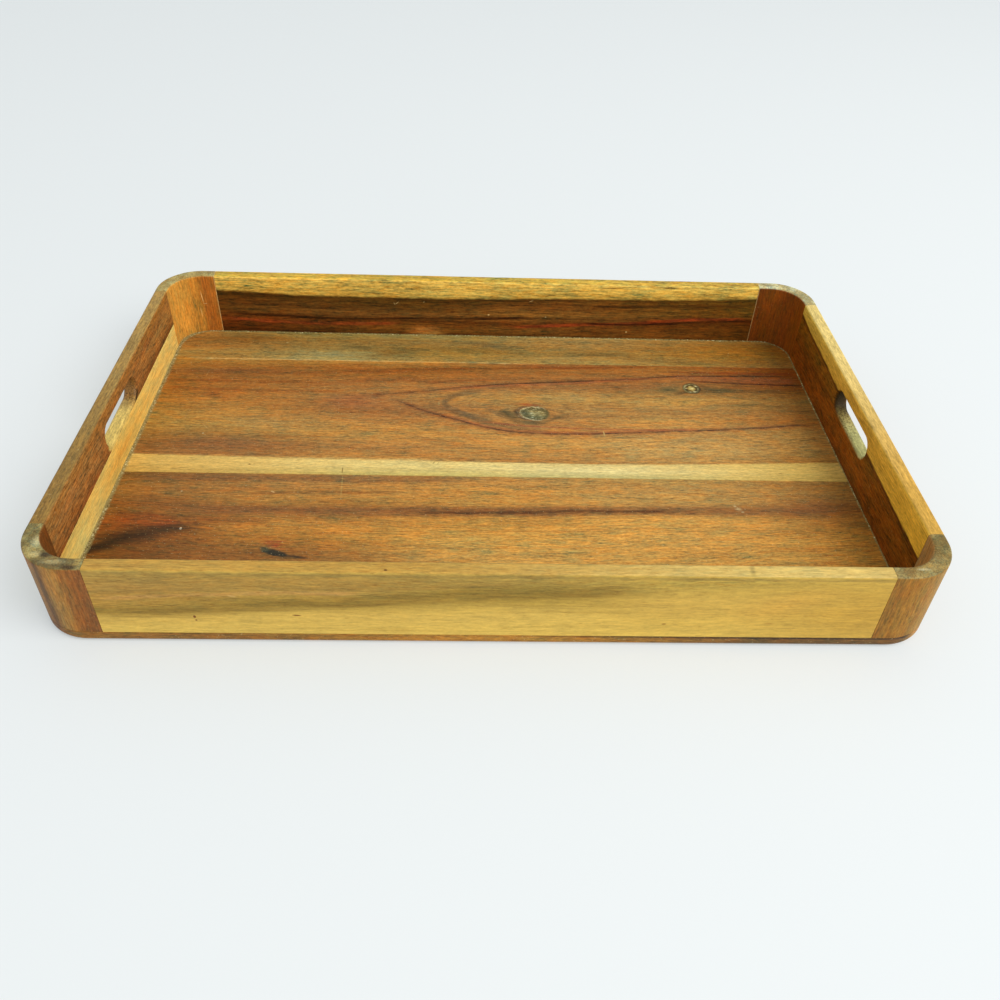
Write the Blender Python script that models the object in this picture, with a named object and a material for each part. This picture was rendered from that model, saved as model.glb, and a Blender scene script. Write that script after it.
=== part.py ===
# Wooden serving tray: a three-stave floor panel, straight walls joined by
# rounded corner blocks, a handle slot in each end wall, and hidden dowels.
# Metres, +Z up, +X to the right end, +Y to the back, origin under the middle.

import math

import bmesh
import bpy
from mathutils import Matrix

# overall size
TRAY_LENGTH = 0.450
TRAY_WIDTH = 0.292
TRAY_HEIGHT = 0.050
WALL_THICKNESS = 0.008
FLOOR_THICKNESS = 0.0065
OUTER_RADIUS = 0.026
INNER_RADIUS = 0.020
CORNER_SEGMENTS = 12

# rounded edges
RIM_OUTER_ROUND = 0.0012
RIM_INNER_ROUND = 0.0015
FLOOR_EDGE_ROUND = 0.0030
RIM_SEGMENTS = 3
FLOOR_EDGE_SEGMENTS = 5

# where the pieces meet; the walls stand in a rebate round the floor, one gap deep
GLUE_GAP = 0.0003
SIDE_SEAM_X = 0.1905  # front and back walls end here, either side
END_SEAM_Y = 0.115  # end walls end here, front and back
FLOOR_SEAM_BACK_Y = 0.1025
FLOOR_SEAM_FRONT_Y = -0.0225
LEFT_WALL_SEAM_Z = 0.0248

# handle slots
SLOT_LENGTH = 0.057
SLOT_HEIGHT = 0.0129
SLOT_CENTRE_Z = 0.03375
SLOT_ROUND = 0.0021
SLOT_ROUND_SWEEP = math.radians(80)
SLOT_SIDES = 32
SLOT_ROUND_STEPS = 4
SLOT_OVERSHOOT = 0.004

# dowels
DOWEL_DIAMETER = 0.004
DOWEL_LENGTH = 0.020
DOWEL_CLEARANCE = 0.0003
DOWEL_HEIGHTS = {"lower": 0.016, "upper": 0.038}
DOWEL_SIDES = 20

# wood colours, as seen
WOOD = {
    "floor_stave_back": (146, 110, 56),
    "floor_stave_middle": (172, 118, 62),
    "floor_stave_front": (184, 130, 66),
    "front_wall": (205, 166, 82),
    "back_wall": (118, 70, 34),
    "left_wall_upper": (147, 98, 56),
    "left_wall_lower": (217, 174, 88),
    "right_wall": (104, 54, 18),
    "corner_block_front_left": (138, 90, 50),
    "corner_block_front_right": (158, 102, 52),
    "corner_block_back_left": (184, 118, 58),
    "corner_block_back_right": (98, 52, 20),
    "dowel": (214, 184, 134),
}
WOOD_ROUGHNESS = 0.45
SHARP_EDGE_ANGLE = math.radians(35)

SAW_TOLERANCE = 1e-7

WALL_MIDDLE = WALL_THICKNESS / 2
HALF_GAP = GLUE_GAP / 2
HALF_LENGTH = TRAY_LENGTH / 2
HALF_WIDTH = TRAY_WIDTH / 2
INSIDE_LENGTH = TRAY_LENGTH - 2 * WALL_THICKNESS
INSIDE_WIDTH = TRAY_WIDTH - 2 * WALL_THICKNESS


def clear_scene():
    for obj in list(bpy.data.objects):
        bpy.data.objects.remove(obj, do_unlink=True)


def new_collection(name):
    collection = bpy.data.collections.new(name)
    bpy.context.scene.collection.children.link(collection)
    return collection


def to_linear(value):
    value /= 255
    return value / 12.92 if value <= 0.04045 else ((value + 0.055) / 1.055) ** 2.4


def wood_material(name, colour):
    material = bpy.data.materials.new(name)
    material.use_nodes = True
    shader = material.node_tree.nodes["Principled BSDF"]
    shader.inputs["Base Color"].default_value = [to_linear(c) for c in colour] + [1.0]
    shader.inputs["Roughness"].default_value = WOOD_ROUGHNESS
    shader.inputs["Metallic"].default_value = 0.0
    return material


def add_object(name, bm, collection):
    mesh = bpy.data.meshes.new(name)
    bm.to_mesh(mesh)
    bm.free()
    obj = bpy.data.objects.new(name, mesh)
    collection.objects.link(obj)
    return obj


def add_part(name, bm, collection, colour_name):
    obj = add_object(name, bm, collection)
    obj.data.materials.append(wood_material(name, WOOD[colour_name]))
    obj.data.shade_smooth()
    obj.data.set_sharp_from_angle(angle=SHARP_EDGE_ANGLE)
    return obj


def add_cutter(name, bm, collection):
    obj = add_object(name, bm, collection)
    obj.hide_render = True
    obj.display_type = "WIRE"
    return obj


def rounded_block(bm, length, width, radius, bottom, top):
    """A block with rounded upright corners, without its two end faces.

    Returns the edges round its bottom and round its top.
    """
    corners = bmesh.ops.create_cube(bm, size=1.0)["verts"]
    bmesh.ops.scale(bm, vec=(length, width, top - bottom), verts=corners)
    bmesh.ops.translate(bm, vec=(0, 0, (top + bottom) / 2), verts=corners)
    faces = {f for v in corners for f in v.link_faces}
    edges = {e for v in corners for e in v.link_edges}
    ends = [f for f in faces if abs(f.normal.z) > 0.5]
    uprights = [e for e in edges if e.verts[0].co.xy == e.verts[1].co.xy]
    bmesh.ops.delete(bm, geom=ends, context="FACES_ONLY")
    others = set(bm.edges) - edges
    bmesh.ops.bevel(
        bm, geom=uprights, offset=radius, offset_type="OFFSET", segments=CORNER_SEGMENTS,
        profile=0.5, affect="EDGES", material=-1, clamp_overlap=False,
    )
    borders = [e for e in bm.edges if e.is_boundary and e not in others]
    lower = [e for e in borders if e.verts[0].co.z < (top + bottom) / 2]
    upper = [e for e in borders if e.verts[0].co.z > (top + bottom) / 2]
    return lower, upper


def round_over(bm, edges, radius, segments):
    bmesh.ops.bevel(
        bm, geom=edges, offset=radius, offset_type="OFFSET", segments=segments,
        profile=0.5, affect="EDGES", material=-1, clamp_overlap=False,
    )


def wall_ring():
    """The whole rim before it is sawn into walls and corner blocks."""
    bm = bmesh.new()
    bottom = FLOOR_THICKNESS
    outer = rounded_block(bm, TRAY_LENGTH, TRAY_WIDTH, OUTER_RADIUS, bottom, TRAY_HEIGHT)
    outer_faces = set(bm.faces)
    inner = rounded_block(bm, INSIDE_LENGTH, INSIDE_WIDTH, INNER_RADIUS, bottom, TRAY_HEIGHT)
    bmesh.ops.reverse_faces(bm, faces=[f for f in bm.faces if f not in outer_faces])
    bmesh.ops.bridge_loops(bm, edges=outer[0] + inner[0])
    bmesh.ops.bridge_loops(bm, edges=outer[1] + inner[1])
    bmesh.ops.recalc_face_normals(bm, faces=bm.faces)
    round_over(bm, outer[1], RIM_OUTER_ROUND, RIM_SEGMENTS)
    rim = [e for e in inner[1] if e.is_valid]
    round_over(bm, rim, RIM_INNER_ROUND, RIM_SEGMENTS)
    return bm


def floor_panel():
    """The whole floor, with its rebate, before it is parted into staves."""
    bm = bmesh.new()
    rebate = FLOOR_THICKNESS - GLUE_GAP
    base = rounded_block(bm, TRAY_LENGTH, TRAY_WIDTH, OUTER_RADIUS, 0.0, rebate)
    length = INSIDE_LENGTH - 2 * GLUE_GAP
    width = INSIDE_WIDTH - 2 * GLUE_GAP
    radius = INNER_RADIUS - GLUE_GAP
    field = rounded_block(bm, length, width, radius, rebate, FLOOR_THICKNESS)
    bmesh.ops.bridge_loops(bm, edges=base[1] + field[0])
    for border in (base[0], field[1]):
        bmesh.ops.edgeloop_fill(bm, edges=border)
    bmesh.ops.recalc_face_normals(bm, faces=bm.faces)
    round_over(bm, base[0], FLOOR_EDGE_ROUND, FLOOR_EDGE_SEGMENTS)
    return bm


def saw(bm, axis, place, keep):
    """Saw the stock across one axis at a place; keep the side that keep points to."""
    point = [0.0, 0.0, 0.0]
    normal = [0.0, 0.0, 0.0]
    point["xyz".index(axis)] = place
    normal["xyz".index(axis)] = -keep
    geom = bm.verts[:] + bm.edges[:] + bm.faces[:]
    cut = bmesh.ops.bisect_plane(
        bm, geom=geom, plane_co=point, plane_no=normal, clear_outer=True, dist=SAW_TOLERANCE
    )["geom_cut"]
    edges = [item for item in cut if isinstance(item, bmesh.types.BMEdge)]
    bmesh.ops.holes_fill(bm, edges=edges, sides=0)


def sawn_part(name, stock, cuts, collection):
    bm = stock.copy()
    for axis, place, keep in cuts:
        saw(bm, axis, place, keep)
    bmesh.ops.recalc_face_normals(bm, faces=bm.faces)
    return add_part(name, bm, collection, name)


def slot_outline(bm, x, radius):
    """One upright ring with straight top and bottom and half-round ends."""
    ring = bmesh.ops.create_circle(bm, cap_ends=False, radius=radius, segments=SLOT_SIDES)["verts"]
    half_step = Matrix.Rotation(math.pi / SLOT_SIDES, 4, "Z")
    upright = Matrix.Rotation(math.pi / 2, 4, "Y")
    bmesh.ops.transform(bm, matrix=upright @ half_step, verts=ring)
    straight = (SLOT_LENGTH - SLOT_HEIGHT) / 2
    for vert in ring:
        vert.co.y += math.copysign(straight, vert.co.y)
    bmesh.ops.translate(bm, vec=(x, 0, SLOT_CENTRE_Z), verts=ring)
    return list({e for v in ring for e in v.link_edges})


def slot_cutter(name, centre_x, collection):
    """A slot-shaped cutter that flares at both wall faces, to leave rounded edges."""
    flare = []
    for step in range(SLOT_ROUND_STEPS + 1):
        angle = SLOT_ROUND_SWEEP * step / SLOT_ROUND_STEPS
        depth = SLOT_ROUND * (1 - math.sin(angle))
        flare.append((WALL_MIDDLE - depth, SLOT_ROUND * (1 - math.cos(angle))))
    flare.append((WALL_MIDDLE + SLOT_OVERSHOOT, flare[-1][1]))
    stations = [(-x, growth) for x, growth in reversed(flare)] + flare
    bm = bmesh.new()
    rings = [slot_outline(bm, centre_x + x, SLOT_HEIGHT / 2 + growth) for x, growth in stations]
    for first, second in zip(rings, rings[1:]):
        bmesh.ops.bridge_loops(bm, edges=first + second)
    for end in (rings[0], rings[-1]):
        bmesh.ops.edgeloop_fill(bm, edges=end)
    bmesh.ops.recalc_face_normals(bm, faces=bm.faces)
    return add_cutter(name, bm, collection)


def dowel_places():
    """Name, middle and direction of each dowel; two cross every wall end."""
    line_y = HALF_WIDTH - WALL_MIDDLE
    line_x = HALF_LENGTH - WALL_MIDDLE
    for level, z in DOWEL_HEIGHTS.items():
        for side_y, depth in ((-1, "front"), (1, "back")):
            for side_x, end in ((-1, "left"), (1, "right")):
                in_long_wall = f"dowel_{depth}_wall_{end}_{level}"
                in_end_wall = f"dowel_{end}_wall_{depth}_{level}"
                yield in_long_wall, (side_x * SIDE_SEAM_X, side_y * line_y, z), "X"
                yield in_end_wall, (side_x * line_x, side_y * END_SEAM_Y, z), "Y"


def add_rod(bm, middle, direction, diameter, length):
    radius = diameter / 2
    rod = bmesh.ops.create_cone(
        bm, cap_ends=True, cap_tris=False, segments=DOWEL_SIDES,
        radius1=radius, radius2=radius, depth=length,
    )["verts"]
    turn = Matrix.Rotation(math.pi / 2, 4, "Y" if direction == "X" else "X")
    bmesh.ops.transform(bm, matrix=Matrix.Translation(middle) @ turn, verts=rod)


def dowel_hole_cutter(collection):
    bm = bmesh.new()
    for _, middle, direction in dowel_places():
        diameter = DOWEL_DIAMETER + 2 * DOWEL_CLEARANCE
        add_rod(bm, middle, direction, diameter, DOWEL_LENGTH + 2 * DOWEL_CLEARANCE)
    return add_cutter("dowel_hole_cutter", bm, collection)


def cut_with(obj, cutter):
    modifier = obj.modifiers.new(cutter.name, "BOOLEAN")
    modifier.operation = "DIFFERENCE"
    modifier.solver = "EXACT"
    modifier.object = cutter


def add_floor(collection):
    panel = floor_panel()
    back = FLOOR_SEAM_BACK_Y
    front = FLOOR_SEAM_FRONT_Y
    sawn_part("floor_stave_back", panel, [("y", back + HALF_GAP, 1)], collection)
    middle_cuts = [("y", back - HALF_GAP, -1), ("y", front + HALF_GAP, 1)]
    sawn_part("floor_stave_middle", panel, middle_cuts, collection)
    sawn_part("floor_stave_front", panel, [("y", front - HALF_GAP, -1)], collection)
    panel.free()


def add_long_walls(ring, collection):
    end = SIDE_SEAM_X - HALF_GAP
    parts = []
    for name, side in (("front_wall", -1), ("back_wall", 1)):
        cuts = [("y", 0.0, side), ("x", -end, 1), ("x", end, -1)]
        parts.append(sawn_part(name, ring, cuts, collection))
    return parts


def add_end_walls(ring, collection):
    end = END_SEAM_Y - HALF_GAP
    lengthwise = [("y", -end, 1), ("y", end, -1)]
    left = [("x", 0.0, -1)] + lengthwise
    right = [("x", 0.0, 1)] + lengthwise
    seam = LEFT_WALL_SEAM_Z
    return {
        "upper": sawn_part("left_wall_upper", ring, left + [("z", seam + HALF_GAP, 1)], collection),
        "lower": sawn_part("left_wall_lower", ring, left + [("z", seam - HALF_GAP, -1)], collection),
        "right": sawn_part("right_wall", ring, right, collection),
    }


def add_corner_blocks(ring, collection):
    parts = []
    for depth, side_y in (("front", -1), ("back", 1)):
        for end, side_x in (("left", -1), ("right", 1)):
            cuts = [
                ("x", side_x * (SIDE_SEAM_X + HALF_GAP), side_x),
                ("y", side_y * (END_SEAM_Y + HALF_GAP), side_y),
            ]
            parts.append(sawn_part(f"corner_block_{depth}_{end}", ring, cuts, collection))
    return parts


def add_dowels(collection):
    for name, middle, direction in dowel_places():
        bm = bmesh.new()
        add_rod(bm, middle, direction, DOWEL_DIAMETER, DOWEL_LENGTH)
        add_part(name, bm, collection, "dowel")


def main():
    clear_scene()
    tray = new_collection("serving_tray")
    cutters = new_collection("cutters")

    add_floor(tray)
    ring = wall_ring()
    walls = add_long_walls(ring, tray)
    ends = add_end_walls(ring, tray)
    blocks = add_corner_blocks(ring, tray)
    ring.free()
    add_dowels(tray)

    slot_x = HALF_LENGTH - WALL_MIDDLE
    cut_with(ends["upper"], slot_cutter("left_slot_cutter", -slot_x, cutters))
    cut_with(ends["right"], slot_cutter("right_slot_cutter", slot_x, cutters))
    dowel_holes = dowel_hole_cutter(cutters)
    for obj in walls + list(ends.values()) + blocks:
        cut_with(obj, dowel_holes)


main()
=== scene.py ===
import math

import bmesh
import bpy
from mathutils import Matrix, Vector, noise


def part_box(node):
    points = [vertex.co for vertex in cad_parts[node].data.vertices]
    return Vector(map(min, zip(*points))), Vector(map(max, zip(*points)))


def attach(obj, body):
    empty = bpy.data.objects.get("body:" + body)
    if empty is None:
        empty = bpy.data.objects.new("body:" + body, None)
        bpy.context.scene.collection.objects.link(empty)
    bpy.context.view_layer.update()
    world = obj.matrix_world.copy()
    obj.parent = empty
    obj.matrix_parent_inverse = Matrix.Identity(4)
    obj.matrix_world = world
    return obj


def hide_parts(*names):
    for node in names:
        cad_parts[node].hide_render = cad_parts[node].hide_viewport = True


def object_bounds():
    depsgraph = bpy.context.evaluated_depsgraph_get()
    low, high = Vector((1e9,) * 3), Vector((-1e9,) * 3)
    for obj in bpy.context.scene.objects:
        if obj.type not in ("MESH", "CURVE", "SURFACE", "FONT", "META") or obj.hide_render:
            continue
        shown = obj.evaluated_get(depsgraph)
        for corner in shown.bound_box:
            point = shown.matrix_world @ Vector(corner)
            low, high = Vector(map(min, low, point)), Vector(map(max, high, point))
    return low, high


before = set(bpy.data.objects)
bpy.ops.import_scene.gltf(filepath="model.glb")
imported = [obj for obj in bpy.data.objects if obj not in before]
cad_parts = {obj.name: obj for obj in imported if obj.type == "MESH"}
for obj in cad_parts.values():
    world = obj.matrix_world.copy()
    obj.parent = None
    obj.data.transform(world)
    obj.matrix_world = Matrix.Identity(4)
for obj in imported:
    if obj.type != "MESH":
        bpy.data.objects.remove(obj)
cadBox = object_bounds()
mm = 0.001


def middleOf(lowNode, highNode, axis):
    index = "xyz".index(axis)
    return (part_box(lowNode)[1][index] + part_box(highNode)[0][index]) / 2


places = {
    "sideSeam": middleOf("front_wall", "corner_block_front_right", "x"),
    "endSeam": middleOf("right_wall", "corner_block_back_right", "y"),
    "floorBack": middleOf("floor_stave_middle", "floor_stave_back", "y"),
    "floorFront": middleOf("floor_stave_front", "floor_stave_middle", "y"),
    "leftSeam": middleOf("left_wall_lower", "left_wall_upper", "z"),
    "floorTop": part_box("floor_stave_middle")[1].z,
}


def addCamera(view):
    lens = bpy.data.cameras.new("camera")
    lens.sensor_width = view["sensor"]
    lens.lens = view["lens"]
    lens.clip_start = view["nearest"]
    camera = bpy.data.objects.new("camera", lens)
    bpy.context.scene.collection.objects.link(camera)
    swing = Matrix.Rotation(view["swing"], 4, "Z")
    tilt = Matrix.Rotation(math.pi / 2 - view["down"], 4, "X")
    roll = Matrix.Rotation(view["roll"], 4, "Z")
    camera.matrix_world = Matrix.Translation(view["place"]) @ swing @ tilt @ roll
    bpy.context.scene.camera = camera


def addLight(name, light):
    lamp = bpy.data.lights.new(name, "AREA")
    lamp.shape = "DISK"
    lamp.size = light["size"]
    lamp.energy = light["power"]
    lamp.color = light["colour"]
    obj = bpy.data.objects.new(name, lamp)
    bpy.context.scene.collection.objects.link(obj)
    obj.location = light["place"]
    aim = Vector(light["target"]) - Vector(light["place"])
    obj.rotation_euler = aim.to_track_quat("-Z", "Y").to_euler()


def addRoom(room):
    world = bpy.data.worlds.new("softRoom")
    world.use_nodes = True
    sky = world.node_tree.nodes["Background"]
    sky.inputs["Color"].default_value = room["colour"]
    sky.inputs["Strength"].default_value = room["strength"]
    bpy.context.scene.world = world


def addTable(table):
    bm = bmesh.new()
    bmesh.ops.create_grid(bm, x_segments=1, y_segments=1, size=table["size"] / 2)
    bmesh.ops.translate(bm, vec=(0, 0, cadBox[0].z - table["gap"]), verts=bm.verts)
    mesh = bpy.data.meshes.new("tableTop")
    bm.to_mesh(mesh)
    bm.free()
    top = bpy.data.objects.new("tableTop", mesh)
    bpy.context.scene.collection.objects.link(top)
    material = bpy.data.materials.new("tablePaint")
    material.use_nodes = True
    shader = material.node_tree.nodes["Principled BSDF"]
    shader.inputs["Base Color"].default_value = table["colour"]
    shader.inputs["Roughness"].default_value = table["rough"]
    shader.inputs["Specular IOR Level"].default_value = table["gloss"]
    shader.inputs["Emission Color"].default_value = table["glow"]
    shader.inputs["Emission Strength"].default_value = table["glowStrength"]
    mesh.materials.append(material)


view = {
    "sensor": 36.0,
    "lens": 33.1015,
    "place": (-0.0135, -0.44573, 0.35631),
    "swing": -0.0472,
    "down": 0.7155,
    "roll": 0.0443,
    "nearest": 0.01,
}
keyLight = {
    "place": (1.6, -1.1, 2.0),
    "target": (0.0, 0.0, 0.0),
    "size": 2.3,
    "power": 62.0,
    "colour": (1.0, 0.985, 0.96),
}
room = {"colour": (0.96, 0.98, 1.0, 1.0), "strength": 0.7}
table = {
    "size": 12.0,
    "gap": 0.0001,
    "colour": (0.46, 0.475, 0.48, 1.0),
    "rough": 0.7,
    "gloss": 0.1,
    "glow": (0.91, 0.98, 0.98, 1.0),
    "glowStrength": 0.352,
}
addCamera(view)
addLight("keyLight", keyLight)
addRoom(room)
addTable(table)
bpy.context.scene.view_settings.view_transform = "Standard"
print("stage ready")


class Flow:
    # one output socket of a material, with arithmetic on it
    def __init__(self, tree, socket=None):
        self.tree = tree
        self.socket = socket

    def node(self, kind, settings=None, sockets=None, out=0):
        made = self.tree.nodes.new(kind)
        for name, value in (settings or {}).items():
            if name == "stops":
                self.setStops(made.color_ramp, value)
            elif name == "points":
                self.setPoints(made.mapping, value)
            else:
                setattr(made, name, value)
        for name, value in (sockets or {}).items():
            if isinstance(value, Flow):
                self.tree.links.new(value.socket, made.inputs[name])
            else:
                made.inputs[name].default_value = value
        return Flow(self.tree, made.outputs[out])

    def setStops(self, ramp, stops):
        ramp.elements[1].position, ramp.elements[1].color = stops[-1]
        ramp.elements[0].position, ramp.elements[0].color = stops[0]
        for place, colour in stops[1:-1]:
            ramp.elements.new(place).color = colour

    def setPoints(self, mapping, points):
        curve = mapping.curves[0]
        curve.points[0].location = points[0]
        curve.points[1].location = points[-1]
        for point in points[1:-1]:
            curve.points.new(*point)
        mapping.update()

    def maths(self, operation, *others):
        values = dict(enumerate((self,) + others))
        return self.node("ShaderNodeMath", {"operation": operation}, values)

    def __add__(self, other):
        return self.maths("ADD", other)

    def __radd__(self, other):
        return self.maths("ADD", other)

    def __sub__(self, other):
        return self.maths("SUBTRACT", other)

    def __rsub__(self, other):
        return self.node("ShaderNodeMath", {"operation": "SUBTRACT"}, {0: other, 1: self})

    def __mul__(self, other):
        return self.maths("MULTIPLY", other)

    def __rmul__(self, other):
        return self.maths("MULTIPLY", other)

    def __truediv__(self, other):
        return self.maths("DIVIDE", other)

    def __abs__(self):
        return self.maths("ABSOLUTE")

    def root(self):
        return self.maths("SQRT")

    def atLeast(self, other):
        return self.maths("MAXIMUM", other)

    def atMost(self, other):
        return self.maths("MINIMUM", other)

    def clamped(self):
        return self.node("ShaderNodeClamp", {}, {"Value": self})

    # 0 to 1, softly, as the value goes from start to end
    def fade(self, start, end):
        ends = {"Value": self, "From Min": start, "From Max": end}
        return self.node("ShaderNodeMapRange", {"interpolation_type": "SMOOTHSTEP"}, ends)

    # 1 within reach of a value, 0 past reach plus soft
    def near(self, centre, reach, soft):
        return abs(self - centre).fade(reach + soft, reach)

    def vector(self, operation, other):
        return self.node("ShaderNodeVectorMath", {"operation": operation}, {0: self, 1: other})

    def length(self):
        return self.node("ShaderNodeVectorMath", {"operation": "LENGTH"}, {0: self}, 1)

    def parts(self):
        return [self.node("ShaderNodeSeparateXYZ", {}, {0: self}, i) for i in range(3)]


def join(x, y, z):
    return x.node("ShaderNodeCombineXYZ", {}, {"X": x, "Y": y, "Z": z})


def paint(red, green, blue):
    # from the usual 0 to 255 scale
    linear = []
    for level in (red, green, blue):
        level = level / 255
        linear.append(level / 12.92 if level <= 0.04045 else ((level + 0.055) / 1.055) ** 2.4)
    return (*linear, 1.0)


def mix(mask, under, over, how="MIX"):
    sockets = {0: mask, 6: under, 7: over}
    return mask.node("ShaderNodeMix", {"data_type": "RGBA", "blend_type": how}, sockets, 2)


def banded(colour, pattern, *bands):
    # each band: where the pattern starts and ends it, its strength, and the tone it multiplies by
    for start, end, strength, tone in bands:
        colour = mix(pattern.fade(start, end) * strength, colour, (*tone, 1.0), "MULTIPLY")
    return colour


def grain(place, size, detail=2.0, rough=0.5):
    # noise about 0, with features of the given size in mm along each direction
    inverse = tuple(1 / s for s in size)
    scaled = place.vector("MULTIPLY", inverse)
    sockets = {"Vector": scaled, "Scale": 1.0, "Detail": detail, "Roughness": rough}
    return place.node("ShaderNodeTexNoise", {}, sockets) - 0.5


def trace(along, points):
    # a smooth line through points, read at any place along the board
    first, last = points[0][0], points[-1][0]
    low = min(p[1] for p in points) - 1
    high = max(p[1] for p in points) + 1
    scaled = [((a - first) / (last - first), (b - low) / (high - low)) for a, b in points]
    share = (along - first) / (last - first)
    return share.node("ShaderNodeFloatCurve", {"points": scaled}, {"Value": share}) * (high - low) + low


def ramp(value, low, high, stops):
    share = (value - low) / (high - low)
    scaled = [((at - low) / (high - low), paint(*colour)) for at, colour in stops]
    return ramped(share, scaled)


def ramped(share, stops):
    return share.node("ShaderNodeValToRGB", {"stops": stops}, {0: share})


def sections(along, across, low, high, boards):
    # colour across the board at a few places along it, blended in between
    colour = None
    for (at, stops), before in zip(boards, [None] + boards[:-1]):
        here = ramp(across, low, high, stops)
        colour = here if colour is None else mix(along.fade(before[0], at), colour, here)
    return colour


def ellipse(place, centre, size, turn):
    # coordinates that run from 0 at the centre of an ellipse to 1 at its edge, right through the board
    through = 1000.0
    mapping = {"Vector": place, "Location": (*centre, 0.0), "Rotation": (0.0, 0.0, math.radians(turn))}
    mapping["Scale"] = (*size, through)
    return place.node("ShaderNodeMapping", {"vector_type": "TEXTURE"}, mapping)


def spot(place, centre, size, turn=0.0):
    # 1 at the centre of an ellipse, 0 at its edge and beyond
    local = ellipse(place, centre, size, turn)
    return local.node("ShaderNodeTexGradient", {"gradient_type": "SPHERICAL"}, {0: local})


def addSpots(colour, place, spots):
    # each spot: centre, half size, turn, colour, strength, share of its size that fades
    for centre, size, turn, tone, strength, soft in spots:
        mask = spot(place, centre, size, turn).fade(0.0, soft) * strength
        colour = mix(mask, colour, paint(*tone))
    return colour


def addVeins(colour, along, across, broken, veins):
    # each vein: points along it, half width, fade, colour, strength, and where it starts and ends;
    # broken is a noise that interrupts it, and its ends taper over a tenth of its length
    gaps = 2.4
    taper = 0.2
    for points, reach, soft, tone, strength, (start, end) in veins:
        mask = (across - trace(along, points)).near(0.0, reach, soft) * strength
        mask = (mask * (broken * gaps + 1.0)).clamped()
        middle = (start + end) / 2
        half = (end - start) / 2
        mask = mask * along.near(middle, half * (1 - taper), half * taper)
        colour = mix(mask, colour, paint(*tone))
    return colour


def creaseDistance(x, y):
    # how far inside the walls a point on the floor lies, in mm
    straightX = crease["halfLength"] - crease["radius"]
    straightY = crease["halfWidth"] - crease["radius"]
    outX = abs(x) - straightX
    outY = abs(y) - straightY
    corner = (outX.atLeast(0.0) * outX.atLeast(0.0) + outY.atLeast(0.0) * outY.atLeast(0.0)).root()
    return crease["radius"] - corner - outX.atLeast(outY).atMost(0.0)


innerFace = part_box("left_wall_upper")[1].x
crease = {
    "halfLength": -innerFace / mm,
    "halfWidth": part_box("back_wall")[0].y / mm,
    "radius": 20.0,
    "floor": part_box("floor_stave_middle")[1].z / mm,
    "dust": (150, 136, 84),
    "crumb": (226, 220, 170),
    "dirt": (92, 78, 42),
    "leftExtra": 1.3,
}


def startWood(name):
    material = bpy.data.materials.new(name)
    material.use_nodes = True
    flow = Flow(material.node_tree)
    metres = flow.node("ShaderNodeTexCoord", out=3)
    return material, metres.vector("MULTIPLY", (1 / mm, 1 / mm, 1 / mm))


def creaseDirt(place, finish):
    # crumbs and dust along the inner corner of the tray: how much, and its colour
    x, y, z = place.parts()
    inside = creaseDistance(x, y)
    patchy = grain(place, (9.0, 9.0, 9.0), 3.0, 0.65) + grain(place, (1.3, 1.3, 1.3), 1.0) * 0.8
    left = x.fade(-204.0, -216.0)
    reach = patchy * finish["dustSpread"] + finish["dustWidth"] + left * crease["leftExtra"]
    line = (inside - reach).fade(0.35, -0.35) * (z - crease["floor"] - reach * 0.6).fade(0.25, -0.15)
    line = line * z.fade(crease["floor"] - 0.4, crease["floor"] - 0.1) * inside.fade(-2.4, -1.4)
    line = line * (1.0 - left * inside.fade(0.6, 2.0) * 0.6)
    grit = grain(place, (1.0, 1.0, 1.0), 1.0)
    dust = mix(grit.fade(0.1, 0.15), paint(*crease["dust"]), paint(*crease["dirt"]))
    return line, mix(grit.fade(-0.13, -0.17), dust, paint(*crease["crumb"]))


def finishWood(material, place, fibrePlace, colour, finish, calm=0.0):
    # fibrePlace runs along, across and into the board; calm is 0 where the wood is lively, 1 where plain
    fibre = grain(fibrePlace, finish["fibre"], 3.0, 0.62)
    streak = grain(fibrePlace, finish["streak"], 3.0, 0.6)
    fleck = grain(fibrePlace, finish["fleck"], 2.0, 0.6)
    mottle = grain(fibrePlace, finish["mottle"], 2.0)
    hue = grain(fibrePlace, finish["hue"], 3.0, 0.62)
    pore = grain(fibrePlace, finish["pore"], 2.0).fade(finish["poreStart"], finish["poreStart"] + 0.08)
    shade = fibre * finish["fibreDepth"] + streak * finish["streakDepth"] + fleck * finish["fleckDepth"]
    lively = 1.0 - calm * finish["calmShade"]
    tinted = 1.0 - calm * finish["calmHue"]
    shade = ((shade + mottle * finish["mottleDepth"]) * lively + 1.0).atLeast(0.3)
    redder = (hue * finish["hueDepth"] + mottle * finish["broadHue"]) * tinted
    colour = colour.vector("MULTIPLY", join(shade + redder, shade, shade - redder * 1.3))
    colour = mix(pore * finish["poreDepth"] * lively, colour, finish["poreTone"], "MULTIPLY")
    speck = grain(place, (1.1, 1.1, 1.1), 1.0).fade(0.19, 0.23) * finish["speckDepth"]
    colour = mix(speck, colour, paint(*finish["speckTone"]))
    line, dust = creaseDirt(place, finish)
    colour = mix(line * finish["dustDepth"], colour, dust)

    height = fibre * relief["fibre"] + fleck * relief["fleck"] + streak * relief["streak"]
    height = height - pore * relief["pore"]
    bump = height.node(
        "ShaderNodeBump", {}, {"Strength": finish["bump"], "Distance": relief["depth"], "Height": height}
    )
    rough = finish["rough"] - fibre * sheen["fibre"] + pore * sheen["pore"] + line * sheen["dust"]
    rough = rough + mottle * sheen["mottle"]
    shader = material.node_tree.nodes["Principled BSDF"]
    links = material.node_tree.links
    links.new(colour.socket, shader.inputs["Base Color"])
    links.new(rough.clamped().socket, shader.inputs["Roughness"])
    links.new(bump.socket, shader.inputs["Normal"])
    shader.inputs["Specular IOR Level"].default_value = finish["gloss"]
    return material


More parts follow.
